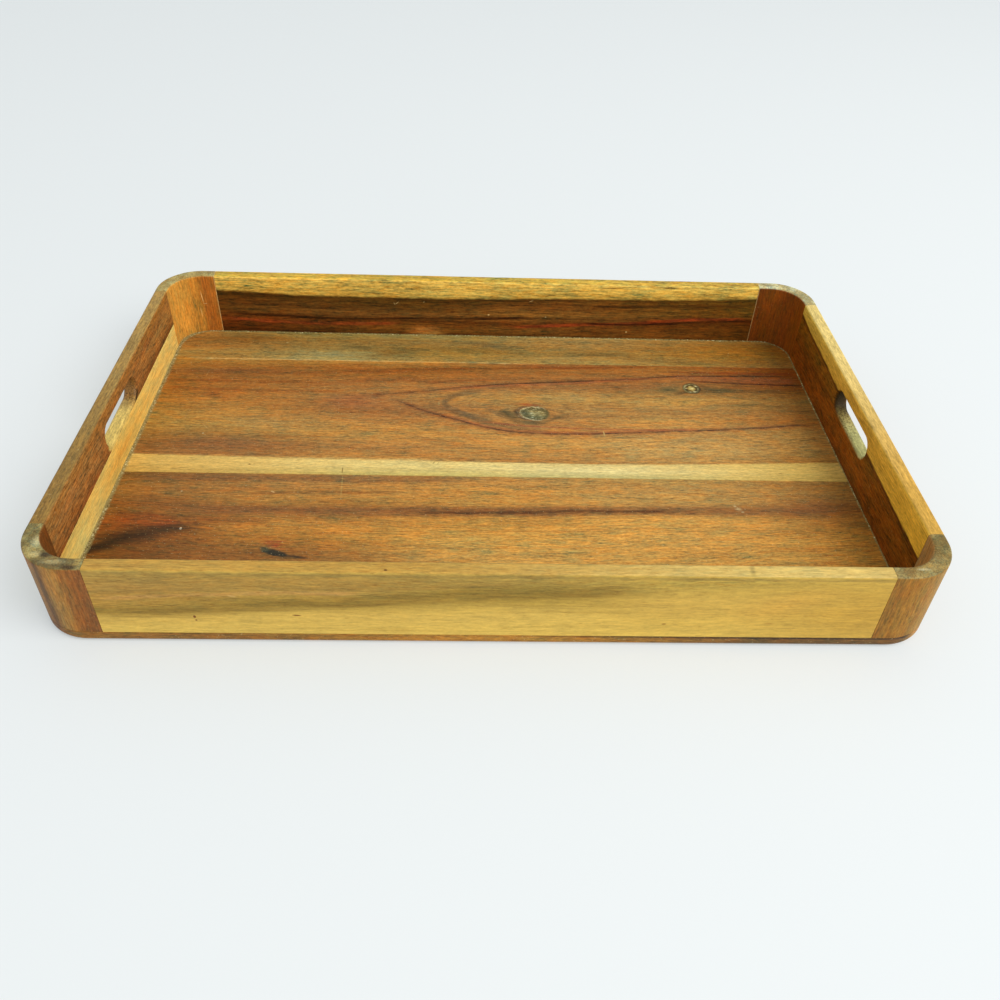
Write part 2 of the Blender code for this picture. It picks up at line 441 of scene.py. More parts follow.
plainFinish = {
    "fibre": (7.0, 0.8, 0.8),
    "streak": (48.0, 3.0, 3.0),
    "fleck": (2.2, 1.1, 1.1),
    "mottle": (16.0, 7.0, 7.0),
    "hue": (8.0, 1.5, 1.5),
    "pore": (4.6, 0.55, 0.55),
    "fibreDepth": 2.0,
    "streakDepth": 0.9,
    "fleckDepth": 1.1,
    "mottleDepth": 0.3,
    "hueDepth": 0.85,
    "broadHue": 0.5,
    "poreStart": 0.12,
    "poreDepth": 0.5,
    "poreTone": (0.45, 0.36, 0.28, 1.0),
    "speckDepth": 0.3,
    "speckTone": (206, 190, 138),
    "dustWidth": 0.7,
    "dustSpread": 1.6,
    "dustDepth": 0.8,
    "calmShade": 0.35,
    "calmHue": 0.75,
    "bump": 0.3,
    "rough": 0.5,
    "gloss": 0.25,
}
relief = {"fibre": 0.6, "fleck": 0.3, "streak": 0.25, "pore": 0.7, "depth": 0.0002}
sheen = {"fibre": 0.16, "pore": 0.14, "dust": 0.3, "mottle": 0.08}


def floorMiddleWood():
    # a board sawn through a branch: rings flow round a long tongue with two knots
    wood = {
        "axis": [(-220, 58), (-63, 60), (-40, 54.5), (-20, 53), (0, 50.5), (30, 49.5), (60, 51),
                 (80, 53), (130, 58), (160, 59.5), (220, 64)],
        "spread": [(-220, -430), (-110, -150), (-63, 0), (-40, 156), (-20, 361), (0, 600), (30, 784),
                   (60, 885), (130, 980), (220, 784)],
        "lowest": -22.5,
        "highest": 102.5,
        "base": [
            (-190, [(-22, (209, 172, 88)), (-9, (211, 172, 88)), (-4, (142, 96, 45)),
                    (6, (142, 96, 42)), (16, (146, 105, 45)), (26, (168, 127, 55)),
                    (44, (168, 117, 45)), (62, (158, 100, 32)), (72, (152, 96, 32)),
                    (84, (142, 92, 35)), (96, (160, 109, 42)), (102, (166, 123, 52))]),
            (-60, [(-22, (197, 172, 92)), (-11, (217, 193, 115)), (-6, (173, 120, 51)),
                   (6, (163, 113, 51)), (20, (180, 131, 58)), (36, (161, 109, 49)),
                   (46, (146, 96, 44)), (60, (163, 114, 54)), (72, (161, 109, 49)),
                   (84, (148, 92, 31)), (92, (145, 85, 25)), (101, (173, 122, 51))]),
            (30, [(-22, (193, 174, 105)), (-13, (218, 199, 129)), (-8, (162, 113, 51)),
                  (8, (185, 137, 64)), (20, (179, 126, 57)), (32, (168, 116, 55)),
                  (48, (162, 118, 57)), (60, (175, 133, 64)), (72, (150, 100, 48)),
                  (84, (156, 103, 45)), (96, (146, 94, 37)), (102, (150, 100, 43))]),
            (120, [(-22, (184, 158, 88)), (-13, (199, 178, 100)), (-8, (170, 127, 62)),
                   (6, (184, 146, 78)), (22, (174, 129, 64)), (36, (184, 133, 60)),
                   (46, (157, 116, 57)), (60, (170, 129, 62)), (70, (147, 105, 48)),
                   (82, (149, 96, 43)), (92, (157, 103, 43)), (102, (149, 94, 33))]),
            (205, [(-22, (201, 164, 78)), (-10, (209, 172, 84)), (-4, (152, 108, 42)),
                   (10, (168, 124, 56)), (26, (162, 118, 52)), (38, (162, 103, 34)),
                   (48, (146, 101, 40)), (62, (152, 108, 42)), (74, (130, 82, 22)),
                   (84, (139, 75, 14)), (92, (128, 69, 3)), (102, (143, 77, 14))]),
        ],
        "sapBorder": [(-220, -5.6), (-160, -7.2), (-60, -8.4), (0, -9.2), (80, -9.4), (130, -7.8),
                      (190, -5.6), (220, -4.4)],
        "upperEdge": [(-112, 58), (-90, 59), (-72, 61.4), (-60, 63.2), (-40, 67), (-20, 71), (0, 74.5),
                      (20, 77), (60, 81), (100, 85), (130, 89.4), (160, 90.6), (220, 92)],
        "lowerEdge": [(-76, 61), (-68, 58.6), (-60, 54.4), (-50, 48.4), (-40, 42.6), (-20, 34), (0, 26.4),
                      (10, 23.6), (30, 21.6), (60, 21.4), (80, 22.8), (130, 26.6), (160, 29), (200, 34),
                      (220, 36.6)],
    }
    material, place = startWood("floorMiddleWood")
    x, y, z = place.parts()
    drift = grain(place, (60.0, 18.0, 40.0), 2.0)
    waver = drift * 5.0 + grain(place, (18.0, 6.0, 20.0), 2.0) * 1.6

    # the branch pushes the fibres aside round each knot
    bentY = y
    for centreX, centreY, size in ((27.0, 43.0, (38.0, 17.0)), (138.0, 75.0, (30.0, 12.0))):
        pushed = spot(place, (centreX, centreY), size).fade(0.0, 0.8) * 0.55
        bentY = bentY - (y - centreY) * pushed
    side = bentY - trace(x, wood["axis"]) + waver * 0.5
    level = side * side - trace(x, wood["spread"]) + waver * 14.0
    ring = (level + 1100.0).atLeast(4.0).root()

    colour = sections(x, bentY + waver, wood["lowest"], wood["highest"], wood["base"])

    # fine rings that follow the tongue
    ringPlace = join(x, ring, side * 0.1)
    lines = grain(ringPlace, (64.0, 0.6, 7.0), 3.0, 0.7)
    bands = grain(ringPlace, (110.0, 2.4, 12.0), 3.0, 0.6)
    colour = banded(colour, lines, (0.03, 0.22, 0.55, (0.62, 0.46, 0.36)),
                    (-0.04, -0.24, 0.4, (1.22, 1.22, 1.2)))
    colour = banded(colour, bands, (0.02, 0.24, 0.5, (0.8, 0.6, 0.48)),
                    (-0.02, -0.24, 0.4, (1.1, 1.14, 1.14)))

    # the tongue's dark outline and the arcs inside it
    steep = (side * side * 4.0 + 70.0).root()
    broken = grain(place, (7.0, 3.0, 6.0), 3.0, 0.7)
    fuzzy = y + waver * 0.15 + broken * 1.2
    colour = addVeins(colour, x, fuzzy, broken, [
        (wood["upperEdge"], 1.2, 3.4, (122, 70, 32), 0.4, (-112, 217)),
        (wood["lowerEdge"], 1.2, 3.4, (122, 66, 32), 0.4, (-74, 217)),
        (wood["upperEdge"], 0.25, 0.9, (70, 42, 18), 0.6, (-90, 217)),
        (wood["upperEdge"], 0.3, 1.0, (56, 34, 14), 0.6, (-24, 217)),
        (wood["lowerEdge"], 0.3, 1.1, (66, 38, 20), 0.7, (-73, 217)),
    ])
    glow = ((level + 85.0) / steep).near(0.0, 0.4, 1.6) * x.fade(-40.0, -10.0) * x.fade(150.0, 90.0)
    colour = mix(glow * 0.3, colour, paint(172, 92, 50))
    arc = ((level + 262.0) / steep + broken * 2.0).near(0.0, 0.9, 3.6)
    strong = arc * x.fade(-46.0, -36.0) * (x + side * 0.9).fade(20.0, 2.0)
    colour = mix((strong * (broken * 2.0 + 1.0)).clamped() * 0.66, colour, paint(98, 78, 46))
    outer = ((level - 330.0) / steep + broken * 2.4).near(0.0, 0.8, 3.0) * x.fade(-150.0, -80.0)
    colour = mix(outer * x.fade(60.0, -20.0) * side.fade(-3.0, 6.0) * 0.35, colour, paint(129, 71, 26))

    soft = join(x + drift * 26.0, y + drift * 9.0, z)
    colour = addSpots(colour, soft, [
        ((-88.0, 54.0), (36.0, 13.0), 0.0, (140, 82, 46), 0.6, 1.0),
        ((-20.0, 42.0), (26.0, 5.0), -25.0, (111, 84, 51), 0.5, 1.0),
        ((60.0, 99.0), (70.0, 5.0), 0.0, (144, 75, 32), 0.6, 1.0),
        ((130.0, 57.0), (24.0, 6.0), 0.0, (184, 135, 58), 0.75, 1.0),
        ((180.0, 55.0), (34.0, 6.0), 0.0, (131, 100, 43), 0.5, 1.0),
        ((55.0, 62.0), (36.0, 9.0), 0.0, (172, 135, 71), 0.6, 1.0),
        ((-135.0, 28.0), (46.0, 13.0), 0.0, (170, 131, 67), 0.6, 1.0),
        ((100.0, 76.0), (36.0, 5.0), 3.0, (125, 84, 43), 0.6, 1.0),
        ((70.0, 41.0), (46.0, 4.0), 2.0, (137, 105, 55), 0.55, 1.0),
        ((-160.0, 6.0), (66.0, 9.0), 0.0, (127, 82, 41), 0.6, 1.0),
        ((-180.0, 87.0), (90.0, 5.0), 0.0, (127, 78, 35), 0.6, 1.0),
        ((-80.0, 88.0), (60.0, 4.5), 4.0, (135, 71, 19), 0.55, 1.0),
    ])
    colour = addVeins(colour, x, y + waver * 0.3, broken, [
        ([(-10, 38), (10, 30.5), (40, 28), (75, 26.5), (140, 28.5), (220, 37)], 0.4, 0.9,
         (150, 72, 40), 0.5, (-8, 140)),
        ([(-220, 101.8), (-100, 102), (60, 102.2)], 0.4, 0.9, (199, 160, 92), 0.8, (-215, 40)),
        ([(-220, 76), (-150, 74), (-60, 76), (0, 84)], 0.6, 1.6, (133, 73, 15), 0.5, (-217, -110)),
        ([(-220, 66), (-120, 64), (-60, 69)], 0.5, 1.4, (135, 73, 15), 0.5, (-217, -90)),
        ([(-40, 93.5), (20, 96), (120, 101)], 0.5, 1.2, (115, 55, 4), 0.55, (-70, 120)),
        ([(110, 88), (160, 82.5), (220, 81)], 0.4, 1.0, (70, 28, 6), 0.8, (135, 217)),
        ([(120, 90), (160, 86.6), (220, 86)], 1.6, 2.4, (146, 82, 48), 0.4, (125, 217)),
        ([(130, 95), (170, 94.6), (220, 95)], 0.5, 1.4, (110, 44, 10), 0.6, (120, 217)),
        ([(125, 69), (160, 72), (220, 73)], 0.8, 2.2, (92, 64, 23), 0.55, (122, 205)),
    ])

    # the pale edge of the board, next to the front stave
    border = trace(x, wood["sapBorder"]) + waver * 0.35 + grain(place, (7.0, 2.0, 9.0), 1.0) * 0.8
    edge = (y - border).fade(1.1, -1.1)
    sap = sections(x, y, -22.5, -4.0, [
        (-190, [(-22, (197, 158, 75)), (-14, (209, 170, 86)), (-6, (209, 172, 88))]),
        (-40, [(-22, (193, 172, 92)), (-15, (217, 193, 117)), (-8, (218, 193, 117))]),
        (60, [(-22, (184, 172, 107)), (-16, (218, 199, 131)), (-8, (211, 187, 115))]),
        (200, [(-22, (199, 164, 78)), (-14, (207, 172, 86)), (-5, (201, 166, 82))]),
    ])
    sapLine = grain(place, (70.0, 0.55, 2.0), 2.0).fade(0.05, 0.2) * y.fade(-12.0, -20.0)
    sap = mix(sapLine * 0.6, sap, paint(164, 146, 75))
    colour = mix(edge, colour, sap)
    colour = addSpots(colour, place, [
        ((-144.0, -14.0), (0.9, 0.6), 0.0, (109, 64, 3), 0.8, 0.4),
        ((-34.0, -10.0), (1.8, 0.5), 60.0, (139, 123, 67), 0.6, 0.5),
        ((-31.5, -10.5), (1.6, 0.4), 64.0, (139, 123, 67), 0.5, 0.5),
        ((-88.2, -18.5), (3.4, 0.5), 92.0, (117, 88, 19), 0.7, 0.5),
        ((73.0, 22.0), (3.4, 0.6), 96.0, (193, 166, 98), 0.7, 0.6),
        ((-33.0, 52.0), (3.4, 1.2), 94.0, (164, 137, 80), 0.6, 0.8),
        ((-190.0, 83.0), (5.6, 0.4), 86.0, (172, 129, 71), 0.6, 0.6),
        ((-193.0, 34.0), (4.5, 0.5), 90.0, (174, 131, 71), 0.5, 0.6),
        ((-179.0, 24.0), (5.4, 0.35), -52.0, (184, 142, 80), 0.6, 0.6),
        ((-178.2, 16.0), (0.8, 0.6), 0.0, (209, 191, 139), 0.8, 0.5),
        ((-211.0, 84.0), (3.5, 0.4), 100.0, (178, 135, 71), 0.5, 0.6),
    ])

    # knots: a greyed core with pale cracks, and dark stain trailing along the grain
    stain = join(x + drift * 8.0, y + grain(place, (6.0, 2.0, 4.0), 3.0) * 4.0, z)
    colour = addSpots(colour, stain, [
        ((12.0, 40.5), (13.0, 8.0), -30.0, (70, 64, 34), 0.85, 1.0),
        ((26.0, 33.0), (20.0, 5.0), -6.0, (84, 74, 42), 0.85, 1.0),
        ((44.0, 38.6), (13.0, 4.4), 20.0, (84, 68, 36), 0.75, 1.0),
        ((2.0, 45.0), (13.0, 3.0), -40.0, (110, 88, 52), 0.5, 1.0),
        ((26.0, 52.6), (13.0, 1.8), -4.0, (158, 66, 34), 0.6, 1.0),
        ((122.0, 73.0), (19.0, 5.6), 10.0, (86, 80, 44), 0.85, 1.0),
        ((131.0, 70.0), (9.0, 2.6), 30.0, (62, 52, 26), 0.7, 1.0),
        ((158.0, 73.4), (24.0, 5.2), -3.0, (78, 72, 38), 0.85, 1.0),
        ((147.0, 77.0), (7.0, 3.0), -30.0, (56, 46, 22), 0.6, 1.0),
    ])
    colour = addKnot(colour, place, {
        "centre": (28.0, 43.0), "size": (11.8, 8.6), "turn": -8.0, "wobble": 0.5, "shift": -0.34,
        "stops": [(0.0, (168, 158, 104)), (0.26, (140, 130, 82)), (0.42, (116, 108, 62)),
                  (0.62, (86, 78, 40)), (0.74, (112, 98, 56)), (0.8, (178, 168, 122)),
                  (0.87, (150, 112, 68)), (1.0, (104, 74, 38))],
    })
    colour = addKnot(colour, place, {
        "centre": (138.4, 74.8), "size": (6.2, 6.4), "turn": 10.0, "wobble": 0.5, "shift": 0.1,
        "stops": [(0.0, (190, 182, 118)), (0.3, (166, 152, 88)), (0.46, (112, 90, 36)),
                  (0.6, (56, 42, 14)), (0.76, (120, 112, 66)), (0.88, (84, 70, 34)),
                  (1.0, (70, 54, 26))],
    })
    colour = addSpots(colour, stain, [
        ((22.4, 42.6), (6.4, 5.0), -20.0, (62, 66, 40), 0.75, 0.8),
        ((17.0, 43.4), (3.0, 4.0), 0.0, (40, 40, 22), 0.6, 1.0),
        ((33.0, 41.6), (4.0, 3.4), 0.0, (166, 152, 98), 0.45, 1.0),
    ])
    return finishWood(material, place, join(x, bentY + waver * 0.4, z), colour, plainFinish, edge)


def addKnot(colour, place, knot):
    # rings of tone round a greyed core; shift moves the core along the knot
    local = ellipse(place, knot["centre"], knot["size"], knot["turn"])
    far = local.length()
    rough = grain(place, (3.4, 3.4, 3.4), 3.0, 0.7) * knot["wobble"]
    across = local.parts()[0]
    rings = ramped((far + rough + across * far * knot["shift"]).atLeast(0.0),
                   [(at, paint(*tone)) for at, tone in knot["stops"]])
    crack = grain(place, (2.6, 1.1, 2.0), 2.0, 0.7)
    rings = mix(crack.fade(0.06, 0.16) * far.fade(1.0, 0.6) * 0.7, rings, paint(214, 204, 156))
    rings = mix(crack.fade(-0.06, -0.16) * 0.7, rings, paint(48, 44, 24))
    return mix((far + rough * 0.5).fade(1.1, 0.88), colour, rings)


def floorBackWood():
    material, place = startWood("floorBackWood")
    x, y, z = place.parts()
    drift = grain(place, (50.0, 14.0, 30.0), 2.0)
    waver = drift * 6.0
    colour = sections(x, y + waver, 102.5, 146.0, [
        (-190, [(103, (163, 124, 58)), (110, (165, 128, 61)), (118, (163, 117, 53)),
                (128, (145, 101, 42)), (138, (163, 128, 63))]),
        (-110, [(103, (156, 139, 81)), (110, (157, 137, 78)), (118, (141, 115, 58)),
                (126, (152, 115, 53)), (138, (159, 137, 69))]),
        (-30, [(103, (156, 124, 61)), (110, (151, 117, 51)), (118, (140, 107, 46)),
               (127, (147, 117, 59)), (138, (156, 135, 72))]),
        (60, [(103, (164, 133, 67)), (109, (160, 128, 67)), (115, (145, 115, 56)),
              (126, (164, 124, 61)), (138, (168, 139, 78))]),
        (190, [(103, (151, 108, 44)), (109, (147, 106, 42)), (116, (154, 106, 33)),
               (128, (157, 103, 29)), (138, (154, 113, 48))]),
    ])
    ringPlace = join(x, y + waver, z * 0.5)
    bands = grain(ringPlace, (120.0, 2.4, 6.0), 3.0, 0.6)
    colour = banded(colour, bands, (0.02, 0.24, 0.55, (0.66, 0.6, 0.5)),
                    (-0.02, -0.24, 0.45, (1.2, 1.2, 1.12)))
    soft = join(x + drift * 30.0, y + drift * 12.0, z)
    colour = addSpots(colour, soft, [
        ((-92.0, 119.0), (18.0, 3.6), -6.0, (97, 82, 42), 0.75, 1.0),
        ((-62.0, 115.0), (24.0, 8.0), 12.0, (114, 88, 39), 0.7, 1.0),
        ((-110.0, 109.0), (34.0, 5.0), 0.0, (154, 144, 93), 0.5, 1.0),
        ((-2.0, 125.0), (26.0, 8.0), -12.0, (106, 90, 53), 0.7, 1.0),
        ((80.0, 114.0), (40.0, 5.0), 0.0, (119, 90, 42), 0.7, 1.0),
        ((22.0, 118.0), (16.0, 4.0), -20.0, (114, 97, 50), 0.6, 1.0),
        ((-170.0, 127.0), (46.0, 6.0), 0.0, (129, 88, 33), 0.6, 1.0),
        ((150.0, 107.0), (36.0, 3.0), 0.0, (112, 97, 44), 0.6, 1.0),
    ])
    colour = addSpots(colour, place, [
        ((-143.0, 124.0), (1.0, 0.8), 0.0, (183, 151, 91), 0.7, 0.5),
    ])
    finish = dict(plainFinish, poreStart=0.1, poreDepth=0.55)
    return finishWood(material, place, join(x, y + waver, z), colour, finish)


def floorFrontWood():
    material, place = startWood("floorFrontWood")
    x, y, z = place.parts()
    drift = grain(place, (60.0, 16.0, 30.0), 2.0)
    waver = drift * 5.0 + grain(place, (16.0, 6.0, 16.0), 2.0) * 1.4
    rise = trace(x, [(-220, 6), (-120, 1), (0, 0), (100, 4), (220, 9)])
    flat = y - rise * y.fade(-40.0, -70.0) + waver
    colour = sections(x, flat, -146.0, -22.5, [
        (-200, [(-90, (119, 72, 21)), (-80, (121, 69, 21)), (-70, (138, 81, 25)),
                (-60, (136, 86, 31)), (-50, (130, 84, 33)), (-40, (149, 102, 42)),
                (-30, (141, 96, 39)), (-23, (128, 88, 33))]),
        (-110, [(-90, (140, 92, 35)), (-80, (166, 111, 38)), (-70, (176, 119, 43)),
                (-60, (156, 107, 43)), (-54, (137, 90, 35)), (-46, (164, 115, 46)),
                (-34, (168, 117, 51)), (-24, (148, 105, 48))]),
        (0, [(-92, (189, 144, 67)), (-78, (191, 143, 62)), (-64, (184, 132, 52)),
             (-58, (172, 121, 48)), (-53, (140, 94, 38)), (-46, (182, 132, 56)),
             (-34, (182, 129, 54)), (-24, (164, 121, 58))]),
        (110, [(-92, (186, 139, 62)), (-76, (191, 142, 64)), (-62, (189, 140, 62)),
               (-56, (170, 123, 55)), (-50, (154, 111, 53)), (-42, (176, 135, 66)),
               (-32, (172, 129, 63)), (-24, (168, 129, 62))]),
        (205, [(-92, (175, 124, 46)), (-78, (171, 117, 40)), (-64, (159, 107, 38)),
               (-58, (153, 101, 34)), (-52, (139, 91, 34)), (-44, (149, 99, 39)),
               (-34, (155, 110, 46)), (-24, (157, 112, 46))]),
    ])
    ringPlace = join(x, flat, z * 0.5)
    bands = grain(ringPlace, (150.0, 2.6, 8.0), 3.0, 0.6)
    lines = grain(ringPlace, (110.0, 0.8, 3.0), 2.0, 0.6)
    colour = banded(colour, bands, (0.03, 0.24, 0.5, (0.78, 0.62, 0.5)),
                    (-0.03, -0.24, 0.4, (1.14, 1.16, 1.14)))
    colour = banded(colour, lines, (0.06, 0.24, 0.4, (0.68, 0.52, 0.42)))
    broken = grain(place, (9.0, 3.0, 6.0), 3.0, 0.7)
    colour = addVeins(colour, x, y + waver * 0.5 + broken * 1.6, broken, [
        ([(-220, -48), (-160, -55), (-100, -55.5), (0, -54), (80, -52), (150, -51), (220, -51)],
         1.6, 4.0, (121, 75, 35), 0.6, (-190, 217)),
        ([(-60, -56), (0, -54.6), (40, -53), (90, -52), (130, -51)], 0.5, 1.2, (75, 41, 4), 0.7,
         (-50, 110)),
        ([(-220, -27), (-100, -27), (0, -26)], 1.2, 3.0, (115, 75, 38), 0.5, (-217, -10)),
        ([(-140, -40), (-90, -39), (-40, -38)], 0.6, 1.4, (117, 73, 26), 0.5, (-140, -50)),
        ([(-220, -58), (-180, -62), (-130, -64)], 0.8, 2.4, (109, 60, 19), 0.5, (-217, -120)),
    ])
    ragged = grain(place, (14.0, 3.0, 8.0), 3.0, 0.7)
    soft = join(x + drift * 20.0 + ragged * 30.0, y + drift * 8.0 + ragged * 12.0, z)
    colour = addSpots(colour, soft, [
        ((-202.0, -66.0), (26.0, 8.0), 6.0, (142, 64, 18), 0.6, 1.0),
        ((-182.0, -68.0), (22.0, 5.0), 4.0, (138, 54, 16), 0.6, 1.0),
        ((-200.0, -79.5), (28.0, 10.5), 14.0, (38, 28, 10), 0.9, 1.0),
        ((-180.0, -72.5), (30.0, 7.5), 6.0, (54, 38, 14), 0.9, 1.0),
        ((-212.0, -87.0), (14.0, 6.0), 20.0, (24, 12, 3), 0.9, 0.9),
        ((-120.0, -84.0), (9.0, 3.4), -30.0, (150, 60, 23), 0.8, 0.8),
        ((-140.0, -84.0), (30.0, 6.0), 0.0, (131, 90, 35), 0.45, 1.0),
        ((190.0, -46.0), (40.0, 9.0), 4.0, (121, 73, 32), 0.5, 1.0),
    ])
    slash = ellipse(place, (-116.0, -88.0), (30.0, 18.0), -20.0).length()
    arcs = (slash * 26.0 + waver).maths("SINE").fade(0.3, 1.0) * slash.fade(1.0, 0.3)
    colour = mix(arcs * 0.4, colour, paint(123, 75, 23))
    colour = addSpots(colour, join(x + ragged * 3.0, y + ragged * 1.6, z), [
        ((-119.0, -87.0), (9.0, 4.4), -24.0, (150, 104, 50), 0.5, 0.9),
        ((-116.0, -89.6), (10.0, 2.8), -20.0, (36, 36, 22), 0.95, 0.5),
        ((-122.6, -87.0), (4.0, 2.2), -30.0, (66, 66, 42), 0.85, 0.6),
        ((-104.0, -92.4), (9.0, 1.8), -10.0, (42, 30, 16), 0.8, 0.9),
    ])
    colour = addSpots(colour, place, [
        ((-171.0, -71.0), (0.9, 1.1), 0.0, (217, 195, 158), 0.95, 0.4),
        ((-126.0, -39.0), (1.6, 0.7), -30.0, (201, 158, 98), 0.85, 0.5),
        ((-178.0, -39.5), (0.8, 0.8), 0.0, (193, 164, 113), 0.8, 0.5),
        ((144.0, -49.0), (3.0, 2.6), 0.0, (184, 162, 111), 0.6, 1.0),
        ((142.5, -46.5), (1.2, 0.9), 0.0, (193, 176, 129), 0.6, 0.6),
        ((146.0, -51.5), (1.3, 0.8), 0.0, (193, 176, 129), 0.6, 0.6),
        ((-87.0, -33.0), (12.0, 0.5), 93.0, (184, 148, 75), 0.5, 0.5),
        ((5.0, -35.0), (1.5, 0.8), 0.0, (158, 107, 46), 0.5, 0.6),
    ])
    # the tray's lower front edge, browner and darker towards the right, with a near-black line just under
    # the wall
    outside = y.fade(-141.0, -144.6) * 0.9
    strip = mix(x.fade(-40.0, -150.0), paint(158, 110, 34), paint(136, 94, 32))
    colour = mix(outside, colour, mix(x.fade(20.0, 150.0), strip, paint(96, 66, 30)))
    gap = z.fade(crease["floor"] - 1.5, crease["floor"] - 0.7) * x.fade(-40.0, 130.0) * outside
    colour = mix(gap * 0.8, colour, paint(40, 28, 14))
    return finishWood(material, place, join(x, flat, z), colour, plainFinish)


print("floor woods ready")


wallSpan = (6.0, 50.0)
rimTop = (49.0, 49.8)


def frontWallWood():
    material, place = startWood("frontWallWood")
    x, y, z = place.parts()
    drift = grain(place, (70.0, 20.0, 14.0), 2.0)
    waver = drift * 5.0 + grain(place, (20.0, 8.0, 4.0), 2.0) * 1.6
    height = z + waver
    colour = sections(x, height, *wallSpan, [
        (-190, [(8, (211, 175, 79)), (16, (203, 165, 73)), (22, (151, 119, 40)),
                (30, (174, 133, 53)), (40, (173, 132, 57)), (49, (173, 141, 63))]),
        (-90, [(8, (213, 177, 81)), (20, (209, 171, 77)), (28, (153, 122, 42)),
               (36, (170, 135, 58)), (44, (175, 135, 58)), (49, (178, 145, 63))]),
        (10, [(8, (218, 181, 82)), (22, (212, 175, 80)), (31, (175, 142, 55)),
              (37, (146, 118, 39)), (44, (163, 132, 56)), (49, (178, 145, 64))]),
        (100, [(8, (213, 176, 77)), (24, (204, 165, 70)), (34, (203, 164, 71)),
               (44, (180, 149, 62)), (49, (197, 162, 70))]),
        (190, [(8, (193, 153, 60)), (24, (193, 150, 54)), (36, (193, 152, 57)),
               (49, (197, 160, 66))]),
    ])
    grainPlace = join(x, height, y)
    bands = grain(grainPlace, (90.0, 2.2, 5.0), 3.0, 0.6)
    olive = bands.fade(0.04, 0.24) * x.fade(140.0, 20.0) * 0.55
    colour = mix(olive, colour, (0.72, 0.68, 0.56, 1.0), "MULTIPLY")
    broken = grain(grainPlace, (30.0, 3.0, 6.0), 3.0, 0.7)
    colour = addVeins(colour, x, height + broken * 2.0, broken, [
        ([(-192, 20), (-140, 23), (-100, 27), (-40, 32), (40, 38), (110, 45)], 1.6, 4.0, (133, 103, 32),
         0.6, (-190, 80)),
        ([(-192, 36), (-120, 37), (-40, 40), (40, 46)], 0.6, 1.8, (143, 110, 47), 0.4, (-190, 20)),
        ([(-192, 31), (-120, 34), (-40, 37)], 0.5, 1.4, (190, 141, 72), 0.5, (-190, -60)),
    ])
    soft = join(x + drift * 24.0, z + drift * 6.0, y)
    colour = addSpots(colour, soft, [
        ((-158.0, 44.0), (24.0, 5.0), 8.0, (143, 116, 55), 0.4, 1.0),
        ((10.0, 39.0), (54.0, 6.0), 8.0, (139, 114, 44), 0.5, 1.0),
        ((140.0, 30.0), (36.0, 12.0), 20.0, (208, 155, 62), 0.4, 1.0),
        ((90.0, 26.0), (30.0, 9.0), -12.0, (190, 153, 67), 0.4, 1.0),
    ])
    flat = join(x, z, y)
    colour = addSpots(colour, flat, [
        ((-144.0, 18.5), (0.9, 1.2), 0.0, (103, 44, 3), 0.9, 0.5),
        ((-143.6, 16.0), (0.7, 0.7), 0.0, (103, 44, 3), 0.8, 0.5),
        ((-95.0, 20.0), (2.8, 0.7), -4.0, (107, 60, 3), 0.9, 0.6),
        ((84.0, 16.0), (1.6, 0.6), 0.0, (126, 77, 3), 0.85, 0.6),
        ((-124.0, 33.0), (3.0, 0.7), -10.0, (208, 170, 101), 0.7, 0.7),
        ((136.0, 17.0), (3.6, 0.8), 0.0, (161, 118, 41), 0.6, 0.8),
        ((6.0, 12.0), (3.0, 0.6), 0.0, (161, 120, 44), 0.5, 0.8),
    ])
    # painted shadow: a thin darker line on the outer face just below the rim's round-over
    paintedRimShadow = z.near(47.7, 0.35, 1.0) * y.fade(-144.4, -145.4)
    colour = mix(paintedRimShadow * 0.4, colour, paint(132, 108, 50))
    finish = dict(plainFinish, fibreDepth=1.2, streakDepth=0.6, fleckDepth=0.5, speckDepth=0.0,
                  hueDepth=0.35, broadHue=0.1, poreTone=(0.6, 0.46, 0.3, 1.0))
    colour = rimWear(colour, place, [(183, 141, 61), (200, 173, 99)], x.fade(-60.0, 160.0), 0.85)
    colour = addSpots(colour, place, [
        ((122.0, -141.0), (2.0, 7.0), 0.0, (135, 118, 65), z.fade(47.5, 49.0) * 0.6, 0.9),
        ((-51.0, -144.0), (1.2, 0.8), 0.0, (88, 50, 3), z.fade(48.0, 49.0) * 0.9, 0.6),
    ])
    paleLimit = trace(x, [(-192, 20), (-100, 26), (-40, 31), (40, 37), (110, 44), (192, 52)])
    plain = (z - paleLimit).fade(2.0, -4.0)
    return finishWood(material, place, grainPlace, colour, finish, plain)


def rimWear(colour, place, tones, share, strength):
    # the handled top of a wall: a tone of its own, rubbed and slightly grey
    z = place.parts()[2]
    top = z.fade(*rimTop)
    tone = mix(share, paint(*tones[0]), paint(*tones[1]))
    rub = grain(place, (22.0, 22.0, 9.0), 3.0, 0.6)
    tone = banded(tone, rub, (0.0, 0.2, 0.35, (0.82, 0.84, 0.78)), (-0.02, -0.2, 0.3, (1.14, 1.12, 1.06)))
    return mix(top * strength, colour, tone)


